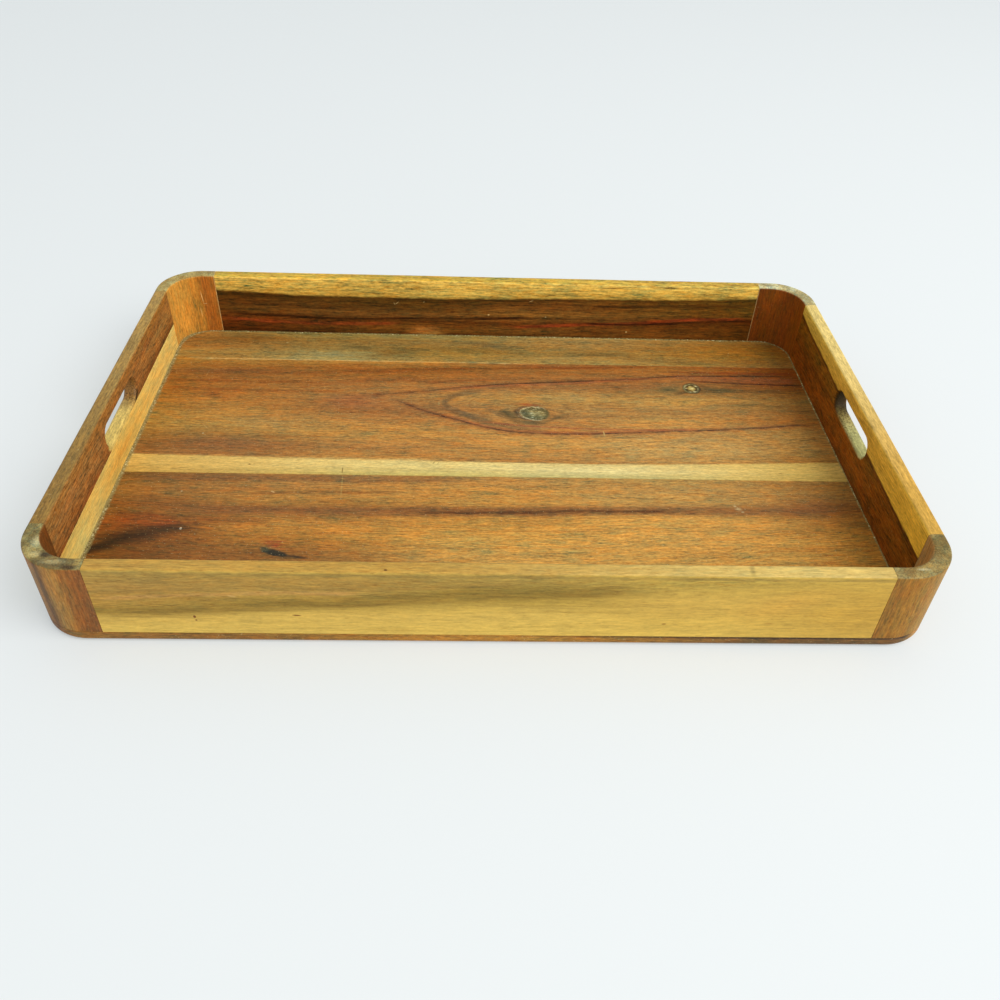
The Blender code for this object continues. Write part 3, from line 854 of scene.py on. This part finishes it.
def backWallWood():
    material, place = startWood("backWallWood")
    x, y, z = place.parts()
    drift = grain(place, (80.0, 20.0, 14.0), 2.0)
    waver = drift * 3.6 + grain(place, (18.0, 8.0, 3.0), 2.0) * 1.2
    height = z + waver
    colour = sections(x, height, *wallSpan, [
        (-190, [(7, (73, 38, 6)), (12, (95, 48, 11)), (18, (113, 58, 15)), (24, (107, 69, 23)),
                (30, (102, 61, 19)), (36, (84, 53, 11)), (42, (91, 60, 13))]),
        (-60, [(7, (90, 53, 12)), (12, (117, 71, 21)), (17, (97, 57, 16)), (23, (123, 81, 32)),
               (28, (91, 60, 19)), (34, (99, 68, 20)), (42, (91, 64, 16))]),
        (40, [(7, (99, 60, 16)), (12, (120, 76, 26)), (18, (114, 65, 20)), (24, (137, 95, 38)),
              (30, (120, 76, 27)), (36, (101, 63, 18)), (42, (94, 63, 16))]),
        (190, [(7, (104, 61, 12)), (12, (97, 56, 12)), (17, (96, 56, 12)), (23, (92, 45, 6)),
               (28, (121, 82, 24)), (34, (109, 75, 20)), (42, (82, 60, 14))]),
    ])
    grainPlace = join(x, height, y)
    bands = grain(grainPlace, (120.0, 1.5, 5.0), 3.0, 0.62)
    colour = banded(colour, bands, (0.03, 0.2, 0.75, (0.5, 0.44, 0.4)),
                    (-0.02, -0.2, 0.5, (1.3, 1.24, 1.16)))
    broken = grain(grainPlace, (30.0, 3.0, 6.0), 3.0, 0.7)
    colour = addVeins(colour, x, height + broken, broken, [
        ([(-192, 21.5), (-150, 20), (-100, 18.5), (-60, 19.5), (0, 21), (60, 22.5)], 0.4, 1.0,
         (51, 23, 3), 0.8, (-190, 40)),
        ([(-192, 18), (-130, 15), (-60, 15.5)], 0.5, 1.3, (145, 63, 25), 0.6, (-190, -60)),
        ([(20, 15), (80, 18), (130, 22), (192, 25)], 0.6, 1.4, (145, 58, 23), 0.75, (10, 192)),
        ([(60, 18), (120, 19.5), (192, 23)], 0.4, 1.0, (60, 23, 3), 0.8, (60, 192)),
        ([(-192, 36.5), (-130, 35), (-60, 34.5), (0, 35.5), (60, 36.5)], 0.7, 1.8, (67, 42, 8), 0.6,
         (-192, 60)),
        ([(80, 32), (130, 34), (192, 35)], 0.5, 1.2, (65, 38, 8), 0.7, (70, 192)),
        ([(-192, 8), (-60, 7), (60, 7.5)], 0.5, 1.2, (74, 35, 5), 0.6, (-190, 0)),
    ])
    soft = join(x + drift * 20.0, z + drift * 4.0, y)
    colour = addSpots(colour, soft, [
        ((-46.0, 11.0), (17.0, 4.6), 0.0, (181, 115, 49), 0.8, 1.0),
        ((-40.0, 8.0), (12.0, 2.6), 0.0, (196, 145, 69), 0.6, 1.0),
    ])
    border = trace(x, [(-192, 39.2), (-160, 38), (-130, 36.6), (-60, 36.2), (0, 37), (60, 38),
                       (140, 39.2), (192, 41.2)])
    edge = (z - border + waver * 0.4 + grain(place, (6.0, 4.0, 1.4), 1.0) * 1.4).fade(-1.2, 1.2)
    sap = sections(x, z + waver * 0.7, 36.0, 50.0, [
        (-170, [(38, (199, 160, 68)), (43, (220, 182, 81)), (49, (227, 188, 87))]),
        (0, [(38, (201, 168, 76)), (43, (216, 182, 85)), (49, (224, 191, 92))]),
        (180, [(40, (201, 164, 70)), (45, (222, 186, 85)), (49, (227, 195, 94))]),
    ])
    sapLine = grain(grainPlace, (60.0, 0.8, 2.0), 2.0)
    sap = banded(sap, sapLine, (0.04, 0.2, 0.5, (0.8, 0.74, 0.6)))
    colour = mix(edge, colour, sap)
    flat = join(x, z, y)
    colour = addSpots(colour, flat, [
        ((86.0, 46.8), (15.0, 0.55), 1.0, (111, 69, 23), 0.85, 0.9),
        ((127.0, 47.9), (8.0, 0.5), 2.0, (119, 65, 20), 0.85, 0.9),
        ((0.0, 24.0), (0.9, 0.6), 0.0, (209, 179, 117), 0.9, 0.5),
        ((41.0, 23.0), (0.8, 0.6), 0.0, (198, 171, 111), 0.8, 0.5),
        ((100.5, 12.2), (0.8, 0.6), 0.0, (218, 190, 123), 0.8, 0.5),
        ((-65.0, 32.0), (2.2, 0.35), 40.0, (188, 162, 106), 0.7, 0.6),
        ((-67.0, 31.6), (1.4, 0.3), 110.0, (188, 162, 106), 0.6, 0.6),
        ((30.0, 35.6), (2.2, 0.4), 20.0, (203, 175, 117), 0.6, 0.7),
        ((-46.0, 33.2), (0.9, 0.4), 30.0, (188, 162, 106), 0.6, 0.6),
    ])
    colour = rimWear(colour, place, [(182, 147, 45), (185, 149, 53)], x.fade(-60.0, 160.0), 0.85)
    finish = dict(plainFinish, fibreDepth=2.6, streakDepth=1.6, hueDepth=0.9, speckDepth=0.0, gloss=0.16)
    return finishWood(material, place, grainPlace, colour, finish)


def endWallWood(name, boards, ringTone, finish, sap=None, spots=(), top=None, bare=None):
    # an end wall: the grain runs front to back
    material, place = startWood(name)
    x, y, z = place.parts()
    drift = grain(place, (20.0, 60.0, 12.0), 2.0)
    waver = drift * 3.6 + grain(place, (8.0, 14.0, 3.0), 2.0) * 1.4
    height = z + waver
    colour = sections(y, height, *wallSpan, boards)
    grainPlace = join(y, height, x)
    bands = grain(grainPlace, (80.0, 1.8, 5.0), 3.0, 0.62)
    colour = mix(bands.fade(0.03, 0.22) * 0.55, colour, ringTone, "MULTIPLY")
    colour = banded(colour, bands, (-0.03, -0.22, 0.4, (1.2, 1.18, 1.14)))
    if sap:
        border = trace(y, sap["border"])
        edge = (z - border + grain(place, (5.0, 9.0, 2.0), 2.0) * 1.6).fade(-0.7, 0.7)
        dark = (z - border).near(-0.6, 0.5, 1.6) * 0.6
        colour = mix(dark, colour, paint(*sap["edgeTone"]))
        pale = sections(y, height, 32.0, 50.0, sap["boards"])
        paleBands = grain(grainPlace, (60.0, 1.4, 3.0), 2.0)
        pale = banded(pale, paleBands, (0.04, 0.22, 0.35, (0.82, 0.76, 0.64)))
        colour = mix(edge, colour, pale)
    colour = addSpots(colour, join(y + drift * 16.0, z + drift * 4.0, x), spots)
    calm = z.fade(48.6, 49.6).atLeast(edge) * 1.3 if sap else z.fade(48.6, 49.6)
    if bare:
        inside, colour = slotLook(colour, place, bare)
        calm = calm.atLeast(inside * 1.3)
    if top:
        share = y.fade(top["from"], top["to"])
        colour = rimWear(colour, place, top["tones"], share, top["strength"])
    return finishWood(material, place, grainPlace, colour, finish, calm)


slot = {"length": 57.0, "height": 12.9, "centre": 33.75, "round": 2.1}


def slotLook(colour, place, bare):
    # bare wood inside the hand slot: pale and greyed, paler low down, darker towards the back with dark
    # specks; gives its mask too
    y, z = place.parts()[1:]
    straight = (slot["length"] - slot["height"]) / 2
    along = (abs(y) - straight).atLeast(0.0)
    up = z - slot["centre"]
    far = (along * along + up * up).root() - slot["height"] / 2
    rub = grain(place, (5.0, 9.0, 3.0), 3.0, 0.65)
    reach = rub * 1.4 + up.fade(-3.0, -6.5) * bare["spill"] + 0.9
    inside = (far - reach).fade(1.0, -1.0)
    wood = mix(y.fade(-4.0, 20.0), paint(*bare["near"]), paint(154, 136, 80))
    wood = mix(up.fade(-4.0, -7.6) * min(bare["spill"] / 3, 0.8), wood, paint(226, 192, 104))
    stripe = grain(place, (2.0, 16.0, 0.8), 2.0, 0.6)
    wood = banded(wood, stripe, (0.02, 0.2, 0.3, (0.78, 0.76, 0.64)),
                  (-0.02, -0.2, 0.25, (1.16, 1.14, 1.08)))
    grit = grain(place, (0.9, 1.1, 0.9), 2.0, 0.6)
    dirty = y.fade(-30.0, 24.0) * bare["grit"]
    wood = mix(grit.fade(0.03, 0.1) * dirty, wood, paint(72, 60, 34))
    wood = mix((y + rub * 14.0).fade(10.0, 27.0) * 0.95, wood, paint(*bare["far"]))
    wood = mix(grit.fade(0.04, 0.1) * y.fade(14.0, 24.0) * 0.6, wood, paint(60, 42, 20))
    wood = mix(far.near(1.7, 0.25, 0.8) * y.fade(20.0, 25.0) * 0.9, wood, paint(20, 14, 8))
    return inside, mix(inside, colour, wood)


def leftUpperWood():
    finish = dict(plainFinish, fibreDepth=2.8, fleckDepth=1.8, mottleDepth=0.8, speckDepth=0.2)
    boards = [
        (-100, [(25, (137, 84, 36)), (34, (157, 105, 50)), (42, (155, 107, 52)), (49, (149, 105, 50))]),
        (0, [(25, (139, 85, 36)), (34, (158, 103, 50)), (42, (154, 103, 50)), (49, (147, 101, 45))]),
        (100, [(25, (123, 78, 31)), (31, (152, 103, 48)), (38, (167, 119, 58)), (43, (148, 101, 48)),
               (49, (152, 103, 40))]),
    ]
    top = {"tones": [(134, 104, 46), (164, 132, 66)], "from": -110.0, "to": 110.0, "strength": 0.9}
    spots = [
        ((-60.0, 27.5), (50.0, 2.2), 0.0, (120, 64, 29), 0.6, 1.0),
        ((80.0, 27.0), (40.0, 1.8), 0.0, (110, 60, 24), 0.7, 1.0),
        ((-85.0, 40.0), (26.0, 7.0), 0.0, (170, 112, 60), 0.4, 1.0),
        ((60.0, 42.0), (22.0, 5.0), 0.0, (151, 83, 38), 0.4, 1.0),
    ]
    return endWallWood("leftUpperWood", boards, (0.7, 0.6, 0.5, 1.0), finish, None, spots, top,
                       {"spill": 2.4, "far": (138, 96, 44), "grit": 0.25, "near": (184, 168, 92)})


def leftLowerWood():
    finish = dict(plainFinish, fibreDepth=1.0, streakDepth=0.5, fleckDepth=0.5, hueDepth=0.4,
                  speckDepth=0.0)
    boards = [
        (-90, [(8, (236, 209, 119)), (16, (243, 211, 114)), (24, (229, 193, 100))]),
        (-20, [(8, (231, 188, 90)), (15, (231, 180, 82)), (24, (238, 197, 99))]),
        (90, [(8, (241, 205, 112)), (16, (245, 205, 108)), (24, (240, 210, 116))]),
    ]
    spots = [
        ((-14.0, 14.0), (26.0, 6.0), 0.0, (216, 151, 61), 0.5, 1.0),
        ((98.0, 23.0), (6.0, 0.6), 0.0, (153, 101, 37), 0.7, 0.8),
        ((60.0, 22.0), (12.0, 0.5), 2.0, (179, 132, 59), 0.6, 0.8),
        ((-72.0, 19.0), (1.6, 0.6), 0.0, (153, 109, 46), 0.6, 0.8),
    ]
    return endWallWood("leftLowerWood", boards, (0.82, 0.74, 0.6, 1.0), finish, None, spots)


def rightWallWood():
    finish = dict(plainFinish, fibreDepth=2.8, mottleDepth=0.8, dustWidth=0.6, speckDepth=0.15, gloss=0.08)
    boards = [
        (-100, [(8, (124, 68, 13)), (16, (128, 74, 15)), (26, (122, 72, 14)), (33, (112, 68, 14))]),
        (0, [(8, (120, 64, 11)), (16, (146, 82, 18)), (26, (134, 78, 15)), (34, (130, 86, 21))]),
        (100, [(8, (138, 74, 14)), (18, (128, 68, 13)), (28, (118, 68, 14)), (36, (128, 84, 19)),
               (42, (110, 70, 14))]),
    ]
    sap = {
        "border": [(-117, 33), (-70, 34), (-35, 35.4), (0, 37.5), (40, 39.2), (60, 40.2), (90, 41),
                   (117, 43.6)],
        "edgeTone": (84, 48, 16),
        "boards": [
            (-110, [(34, (230, 184, 61)), (41, (230, 182, 59)), (49, (234, 188, 67))]),
            (0, [(36, (217, 172, 65)), (43, (215, 167, 61)), (49, (221, 178, 71))]),
            (110, [(40, (209, 166, 61)), (45, (221, 184, 73)), (49, (230, 197, 85))]),
        ],
    }
    top = {"tones": [(185, 143, 70), (215, 192, 124)], "from": -90.0, "to": 60.0, "strength": 0.8}
    spots = [
        ((-12.0, 45.0), (9.0, 1.2), -12.0, (150, 104, 40), 0.6, 1.0),
        ((4.0, 47.0), (16.0, 1.6), 0.0, (176, 128, 50), 0.5, 1.0),
    ]
    return endWallWood("rightWallWood", boards, (0.66, 0.52, 0.42, 1.0), finish, sap, spots, top,
                       {"spill": 0.4, "far": (44, 32, 18), "grit": 0.85, "near": (176, 176, 118)})


print("wall woods ready")


def blockWood(name, block):
    # the grain of a corner block stands upright, so its top shows end grain
    material, place = startWood(name)
    x, y, z = place.parts()
    turned = place.vector("MULTIPLY", (1.0, 1.0, 0.03))
    broad = grain(turned, (5.0, 5.0, 1.0), 2.0)
    narrow = grain(turned, (1.1, 1.1, 1.0), 3.0, 0.6)
    across = x * block["lead"][0] + y * block["lead"][1]
    bands = block["bands"]
    colour = ramp(across + narrow * 1.6 + broad * 2.4, bands[0][0], bands[-1][0], bands)
    colour = banded(colour, narrow, (0.03, 0.22, 0.45, (0.7, 0.58, 0.48)),
                    (-0.03, -0.22, 0.35, (1.18, 1.16, 1.1)))
    cloud = grain(place, (8.0, 8.0, 14.0), 3.0, 0.6)
    colour = banded(colour, cloud, (0.04, 0.22, 0.35, (0.76, 0.74, 0.7)))
    # painted shade: each block darker towards its foot, where it meets the floor
    colour = banded(colour, z, (12.0, 6.0, 0.4, (0.72, 0.68, 0.6)))

    # end grain: darker, dull and pitted, with grime
    top = z.fade(48.9, 49.7)
    greyed = mix(cloud.fade(-0.14, 0.12), paint(*block["top"][0]), paint(*block["top"][1]))
    smear = grain(place, (3.4, 3.4, 6.0), 3.0, 0.7)
    greyed = banded(greyed, smear, (0.02, 0.2, 0.6, (0.66, 0.66, 0.62)),
                    (-0.02, -0.2, 0.5, (1.3, 1.3, 1.28)))
    dots = grain(place, (0.8, 0.8, 6.0), 1.0).fade(0.08, 0.16)
    greyed = mix(dots * 0.5, greyed, paint(74, 60, 38))
    for centre, size, tone, strength in block.get("topSpots", ()):
        greyed = mix(spot(place, centre, size).fade(0.0, 0.8) * strength, greyed, paint(*tone))
    colour = mix(top * 0.92, colour, greyed)
    colour = addSpots(colour, join(across, z, x), block.get("spots", ()))
    if "inner" in block:
        tone, strength = block["inner"]
        indoors = creaseDistance(x, y).fade(-3.0, -0.6) * (1.0 - top)
        colour = mix(indoors * strength, colour, paint(*tone))
    glue = abs(x).near(places["sideSeam"] / mm, 0.25, 0.5) * y.fade(0.0, 100.0)
    colour = mix(glue * 0.6, colour, paint(214, 182, 118))
    finish = dict(plainFinish, fibreDepth=1.6, streakDepth=0.5, fleckDepth=0.9, hueDepth=0.7,
                  speckDepth=0.1, rough=0.54)
    return finishWood(material, place, join(z, x, y), colour, finish)


frontLeftBlock = {
    "bands": [(-134.0, (116, 78, 30)), (-122.0, (140, 98, 38)), (-113.0, (146, 100, 40)),
              (-110.5, (98, 64, 24)), (-108.5, (128, 88, 36)), (-105.5, (160, 116, 50)),
              (-100.0, (164, 116, 46)), (-97.0, (142, 90, 32)), (-92.0, (135, 80, 26)),
              (-88.7, (132, 82, 34))],
    "lead": (0.85, -0.5),
    "inner": ((108, 60, 20), 0.8),
    "top": ((158, 146, 90), (108, 96, 52)),
    "topSpots": [((-216.0, -127.0), (4.0, 6.0), (206, 198, 146), 0.6),
                 ((-205.0, -142.0), (15.0, 6.0), (96, 84, 52), 0.9),
                 ((-222.0, -120.0), (3.0, 5.0), (150, 138, 84), 0.4),
                 ((-209.0, -136.5), (5.5, 3.0), (46, 38, 26), 0.9),
                 ((-204.0, -141.0), (8.0, 2.4), (176, 170, 124), 0.5),
                 ((-196.0, -144.6), (6.0, 2.4), (44, 36, 22), 0.9),
                 ((-214.0, -136.0), (4.0, 3.0), (196, 190, 140), 0.5)],
}
frontRightBlock = {
    "bands": [(112.0, (142, 96, 26)), (122.0, (148, 102, 29)), (134.0, (154, 110, 33)),
              (148.0, (162, 126, 48)), (158.0, (166, 135, 60))],
    "lead": (0.9, 0.4),
    "inner": ((172, 132, 82), 0.7),
    "top": ((150, 132, 78), (116, 98, 50)),
    "topSpots": [((196.5, -142.0), (5.0, 4.0), (92, 76, 42), 0.6),
                 ((205.0, -140.0), (5.0, 1.2), (206, 200, 158), 0.5),
                 ((214.0, -132.0), (5.0, 4.0), (118, 98, 54), 0.5)],
}
backLeftBlock = {
    "bands": [(-106.0, (216, 158, 68)), (-95.0, (213, 154, 62)), (-87.0, (204, 142, 53)),
              (-80.0, (196, 131, 46)), (-76.5, (175, 106, 37)), (-70.0, (181, 113, 39))],
    "lead": (0.8, 0.6),
    "top": ((178, 166, 104), (146, 126, 66)),
    "topSpots": [((-219.0, 122.0), (4.0, 5.0), (120, 108, 62), 0.5)],
    "spots": [((-78.5, 34.0), (0.35, 6.0), 4.0, (226, 190, 124), 0.75, 0.6),
              ((-77.2, 28.6), (1.6, 0.4), 0.0, (226, 190, 124), 0.6, 0.6),
              ((-80.5, 22.0), (0.4, 6.0), 3.0, (226, 184, 112), 0.5, 0.7)],
}
backRightBlock = {
    "bands": [(70.0, (113, 58, 7)), (80.0, (134, 72, 9)), (92.0, (130, 68, 8)), (106.0, (144, 78, 5))],
    "lead": (0.8, -0.6),
    "top": ((206, 204, 156), (168, 156, 104)),
    "topSpots": [((198.0, 142.0), (6.0, 3.0), (126, 104, 54), 0.6)],
}
dowelBeech = {
    "bands": [(-300.0, (206, 172, 122)), (300.0, (222, 192, 142))],
    "lead": (1.0, 0.0),
    "top": ((206, 172, 122), (222, 192, 142)),
}


finest = {"cut": 1e-7, "merge": 1e-6, "sharpAngle": math.radians(40), "normalWeight": 80}


def ringEdges(bm, before, middle):
    borders = [e for e in bm.edges if e.is_boundary and e not in before]
    lower = [e for e in borders if e.verts[0].co.z < middle]
    upper = [e for e in borders if e.verts[0].co.z > middle]
    return lower, upper


def roundedBlock(bm, length, width, radius, bottom, top, steps):
    # upright sides with rounded corners, open below and above; gives both borders
    before = set(bm.edges)
    corners = bmesh.ops.create_cube(bm, size=1.0)["verts"]
    bmesh.ops.scale(bm, vec=(length, width, top - bottom), verts=corners)
    bmesh.ops.translate(bm, vec=(0, 0, (top + bottom) / 2), verts=corners)
    faces = {f for v in corners for f in v.link_faces}
    edges = {e for v in corners for e in v.link_edges}
    uprights = [e for e in edges if e.verts[0].co.xy == e.verts[1].co.xy]
    ends = [f for f in faces if abs(f.normal.z) > 0.5]
    bmesh.ops.delete(bm, geom=ends, context="FACES_ONLY")
    bmesh.ops.bevel(
        bm, geom=uprights, offset=radius, offset_type="OFFSET", segments=steps,
        profile=0.5, affect="EDGES", material=-1, clamp_overlap=False,
    )
    return ringEdges(bm, before, (top + bottom) / 2)


def roundOver(bm, edges, radius, steps):
    bmesh.ops.bevel(
        bm, geom=edges, offset=radius, offset_type="OFFSET", segments=steps,
        profile=0.5, affect="EDGES", material=-1, clamp_overlap=True,
    )


def slicePlane(bm, axis, place, facing, clear):
    point = Vector((0, 0, 0))
    point["xyz".index(axis)] = place
    normal = Vector((0, 0, 0))
    normal["xyz".index(axis)] = facing
    geom = bm.verts[:] + bm.edges[:] + bm.faces[:]
    return bmesh.ops.bisect_plane(
        bm, geom=geom, plane_co=point, plane_no=normal, clear_outer=clear, dist=finest["cut"]
    )["geom_cut"]


def saw(bm, axis, place, keep):
    # cut across one axis, keeping the side that keep points to, and close the cut
    cut = slicePlane(bm, axis, place, -keep, True)
    edges = [item for item in cut if isinstance(item, bmesh.types.BMEdge)]
    return bmesh.ops.holes_fill(bm, edges=edges, sides=0)["faces"]


def score(bm, axis, stations):
    # extra loops, so that edges can carry wear
    for place in stations:
        slicePlane(bm, axis, place, 1, False)


def wear(bm, amount):
    # years of handling: the top edges are never quite straight
    top = cadBox[1].z
    for vert in bm.verts:
        if vert.co.z > top - amount["below"]:
            long = noise.noise(vert.co * amount["longWave"])
            short = noise.noise(vert.co * amount["shortWave"])
            sink = amount["depth"] * (0.5 + 0.5 * long) + amount["shortDepth"] * max(0.0, short)
            for centre, reach, depth in amount["dents"]:
                gap = (vert.co - Vector(centre)).length / reach
                sink += depth * max(0.0, 1.0 - gap * gap)
            share = (vert.co.z - top + amount["below"]) / amount["below"]
            vert.co.z -= sink * share


def shadeMesh(mesh):
    mesh.shade_smooth()
    mesh.set_sharp_from_angle(angle=finest["sharpAngle"])


def makePiece(name, bm, material, nodes):
    bmesh.ops.remove_doubles(bm, verts=bm.verts, dist=finest["merge"])
    bmesh.ops.recalc_face_normals(bm, faces=bm.faces)
    mesh = bpy.data.meshes.new(name)
    bm.to_mesh(mesh)
    bm.free()
    mesh.materials.append(material)
    shadeMesh(mesh)
    piece = bpy.data.objects.new(name, mesh)
    bpy.context.scene.collection.objects.link(piece)
    even = piece.modifiers.new("evenShading", "WEIGHTED_NORMAL")
    even.keep_sharp = True
    even.weight = finest["normalWeight"]
    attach(piece, "root")
    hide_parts(*nodes)
    return piece


rim = {
    "outerRadius": 0.026,
    "innerRadius": 0.020,
    "cornerSteps": 22,
    "outerRound": 0.0012,
    "innerRound": 0.0015,
    "roundSteps": 4,
    "floorRound": 0.0030,
    "floorSteps": 7,
    "joint": 0.00004,
    "breakEdge": 0.00012,
    "seamBreak": 0.00018,
    "loopStep": 0.0045,
}
rimWearAmount = {
    "below": 0.0021,
    "longWave": 14.0,
    "shortWave": 130.0,
    "depth": 0.00022,
    "shortDepth": 0.00018,
    "dents": [((0.122, -0.1445, 0.050), 0.0042, 0.00045), ((-0.0505, -0.1455, 0.050), 0.0022, 0.0003),
              ((0.2245, 0.030, 0.050), 0.0028, 0.0004), ((-0.172, 0.1415, 0.050), 0.0030, 0.0003),
              ((-0.2235, -0.066, 0.050), 0.0036, 0.00035)],
}


def wallStock():
    # the whole ring of walls in one piece, sawn into boards and blocks afterwards
    bm = bmesh.new()
    bottom = places["floorTop"] + rim["joint"]
    low, high = cadBox
    length = high.x - low.x
    width = high.y - low.y
    wall = high.x + innerFace
    outer = roundedBlock(bm, length, width, rim["outerRadius"], bottom, high.z, rim["cornerSteps"])
    outerFaces = set(bm.faces)
    inner = roundedBlock(
        bm, length - 2 * wall, width - 2 * wall, rim["innerRadius"], bottom, high.z, rim["cornerSteps"]
    )
    bmesh.ops.reverse_faces(bm, faces=[f for f in bm.faces if f not in outerFaces])
    bmesh.ops.bridge_loops(bm, edges=outer[0] + inner[0])
    bmesh.ops.bridge_loops(bm, edges=outer[1] + inner[1])
    bmesh.ops.recalc_face_normals(bm, faces=bm.faces)
    roundOver(bm, outer[0], rim["seamBreak"], 1)
    roundOver(bm, [e for e in outer[1] if e.is_valid], rim["outerRound"], rim["roundSteps"])
    roundOver(bm, [e for e in inner[1] if e.is_valid], rim["innerRound"], rim["roundSteps"])
    step = rim["loopStep"]
    countX = int(places["sideSeam"] / step)
    countY = int(places["endSeam"] / step)
    score(bm, "x", [i * step for i in range(-countX, countX + 1)])
    score(bm, "y", [i * step for i in range(-countY, countY + 1)])
    wear(bm, rimWearAmount)
    return bm


def floorStock():
    # the whole floor panel, sawn into staves afterwards
    bm = bmesh.new()
    low, high = cadBox
    top = places["floorTop"] - rim["joint"]
    borders = roundedBlock(
        bm, high.x - low.x, high.y - low.y, rim["outerRadius"], low.z, top, rim["cornerSteps"]
    )
    for border in borders:
        bmesh.ops.edgeloop_fill(bm, edges=border)
    bmesh.ops.recalc_face_normals(bm, faces=bm.faces)
    roundOver(bm, borders[0], rim["floorRound"], rim["floorSteps"])
    roundOver(bm, [e for e in borders[1] if e.is_valid], rim["seamBreak"], 1)
    return bm


def sawnPiece(name, stock, cuts, material, nodes):
    bm = stock.copy()
    for axis, place, keep in cuts:
        ends = saw(bm, axis, place, keep)
        roundOver(bm, list({e for f in ends for e in f.edges}), rim["breakEdge"], 1)
    return makePiece(name, bm, material, nodes)


def slotOutline(bm, x, radius):
    ring = bmesh.ops.create_circle(bm, cap_ends=False, radius=radius, segments=slotCut["sides"])["verts"]
    halfStep = Matrix.Rotation(math.pi / slotCut["sides"], 4, "Z")
    upright = Matrix.Rotation(math.pi / 2, 4, "Y")
    bmesh.ops.transform(bm, matrix=upright @ halfStep, verts=ring)
    straight = (slot["length"] - slot["height"]) / 2 * mm
    for vert in ring:
        vert.co.y += math.copysign(straight, vert.co.y)
    bmesh.ops.translate(bm, vec=(x, 0, slot["centre"] * mm), verts=ring)
    return list({e for v in ring for e in v.link_edges})


slotCut = {"sides": 64, "steps": 7, "sweep": math.radians(84), "overshoot": 0.004}


def cutSlot(piece, centreX):
    # a cutter that flares towards both faces, so that the slot's edges come out rounded
    half = (cadBox[1].x + innerFace) / 2
    reach = slot["round"] * mm
    flare = []
    for step in range(slotCut["steps"] + 1):
        angle = slotCut["sweep"] * step / slotCut["steps"]
        flare.append((half - reach * (1 - math.sin(angle)), reach * (1 - math.cos(angle))))
    flare.append((half + slotCut["overshoot"], flare[-1][1]))
    stations = [(-x, growth) for x, growth in reversed(flare)] + flare
    radius = slot["height"] * mm / 2
    bm = bmesh.new()
    rings = [slotOutline(bm, centreX + x, radius + growth) for x, growth in stations]
    for first, second in zip(rings, rings[1:]):
        bmesh.ops.bridge_loops(bm, edges=first + second)
    for end in (rings[0], rings[-1]):
        bmesh.ops.edgeloop_fill(bm, edges=end)
    bmesh.ops.recalc_face_normals(bm, faces=bm.faces)
    mesh = bpy.data.meshes.new("slotCutter")
    bm.to_mesh(mesh)
    bm.free()
    cutter = bpy.data.objects.new("slotCutter", mesh)
    bpy.context.scene.collection.objects.link(cutter)
    cut = piece.modifiers.new("slot", "BOOLEAN")
    cut.operation = "DIFFERENCE"
    cut.solver = "EXACT"
    cut.object = cutter
    piece.modifiers.move(1, 0)
    piece.modifiers["evenShading"].show_viewport = False
    graph = bpy.context.evaluated_depsgraph_get()
    finished = bpy.data.meshes.new_from_object(piece.evaluated_get(graph))
    piece.modifiers["evenShading"].show_viewport = True
    piece.modifiers.remove(cut)
    bpy.data.objects.remove(cutter)
    shadeMesh(finished)
    piece.data = finished


stock = floorStock()
joint = rim["joint"]
sawnPiece("floorStaveBack", stock, [("y", places["floorBack"] + joint, 1)],
          floorBackWood(), ["floor_stave_back"])
sawnPiece("floorStaveMiddle", stock,
          [("y", places["floorBack"] - joint, -1), ("y", places["floorFront"] + joint, 1)],
          floorMiddleWood(), ["floor_stave_middle"])
sawnPiece("floorStaveFront", stock, [("y", places["floorFront"] - joint, -1)],
          floorFrontWood(), ["floor_stave_front"])
stock.free()
print("floor made")

stock = wallStock()
sideEnd = places["sideSeam"] - joint
endEnd = places["endSeam"] - joint
sawnPiece("frontWall", stock, [("y", 0.0, -1), ("x", -sideEnd, 1), ("x", sideEnd, -1)],
          frontWallWood(), ["front_wall"])
sawnPiece("backWall", stock, [("y", 0.0, 1), ("x", -sideEnd, 1), ("x", sideEnd, -1)],
          backWallWood(), ["back_wall"])
endCuts = [("y", -endEnd, 1), ("y", endEnd, -1)]
leftUpper = sawnPiece("leftWallUpper", stock,
                      [("x", 0.0, -1)] + endCuts + [("z", places["leftSeam"] + joint, 1)],
                      leftUpperWood(), ["left_wall_upper"])
sawnPiece("leftWallLower", stock,
          [("x", 0.0, -1)] + endCuts + [("z", places["leftSeam"] - joint, -1)],
          leftLowerWood(), ["left_wall_lower"])
rightWall = sawnPiece("rightWall", stock, [("x", 0.0, 1)] + endCuts,
                      rightWallWood(), ["right_wall"])
wallMiddle = (cadBox[1].x - innerFace) / 2
cutSlot(leftUpper, -wallMiddle)
cutSlot(rightWall, wallMiddle)
print("walls made")

blocks = [
    ("FrontLeft", -1, -1, frontLeftBlock), ("FrontRight", 1, -1, frontRightBlock),
    ("BackLeft", -1, 1, backLeftBlock), ("BackRight", 1, 1, backRightBlock),
]
for corner, sideX, sideY, block in blocks:
    name = "cornerBlock" + corner
    end = "front" if sideY < 0 else "back"
    side = "left" if sideX < 0 else "right"
    cuts = [("x", sideX * (places["sideSeam"] + joint), sideX),
            ("y", sideY * (places["endSeam"] + joint), sideY)]
    sawnPiece(name, stock, cuts, blockWood(name + "Wood", block),
              [f"corner_block_{end}_{side}"])
stock.free()
print("corner blocks made")

beech = blockWood("dowelBeech", dowelBeech)
for name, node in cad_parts.items():
    if name.startswith("dowel_"):
        node.data.materials.clear()
        node.data.materials.append(beech)
print("dowels finished")
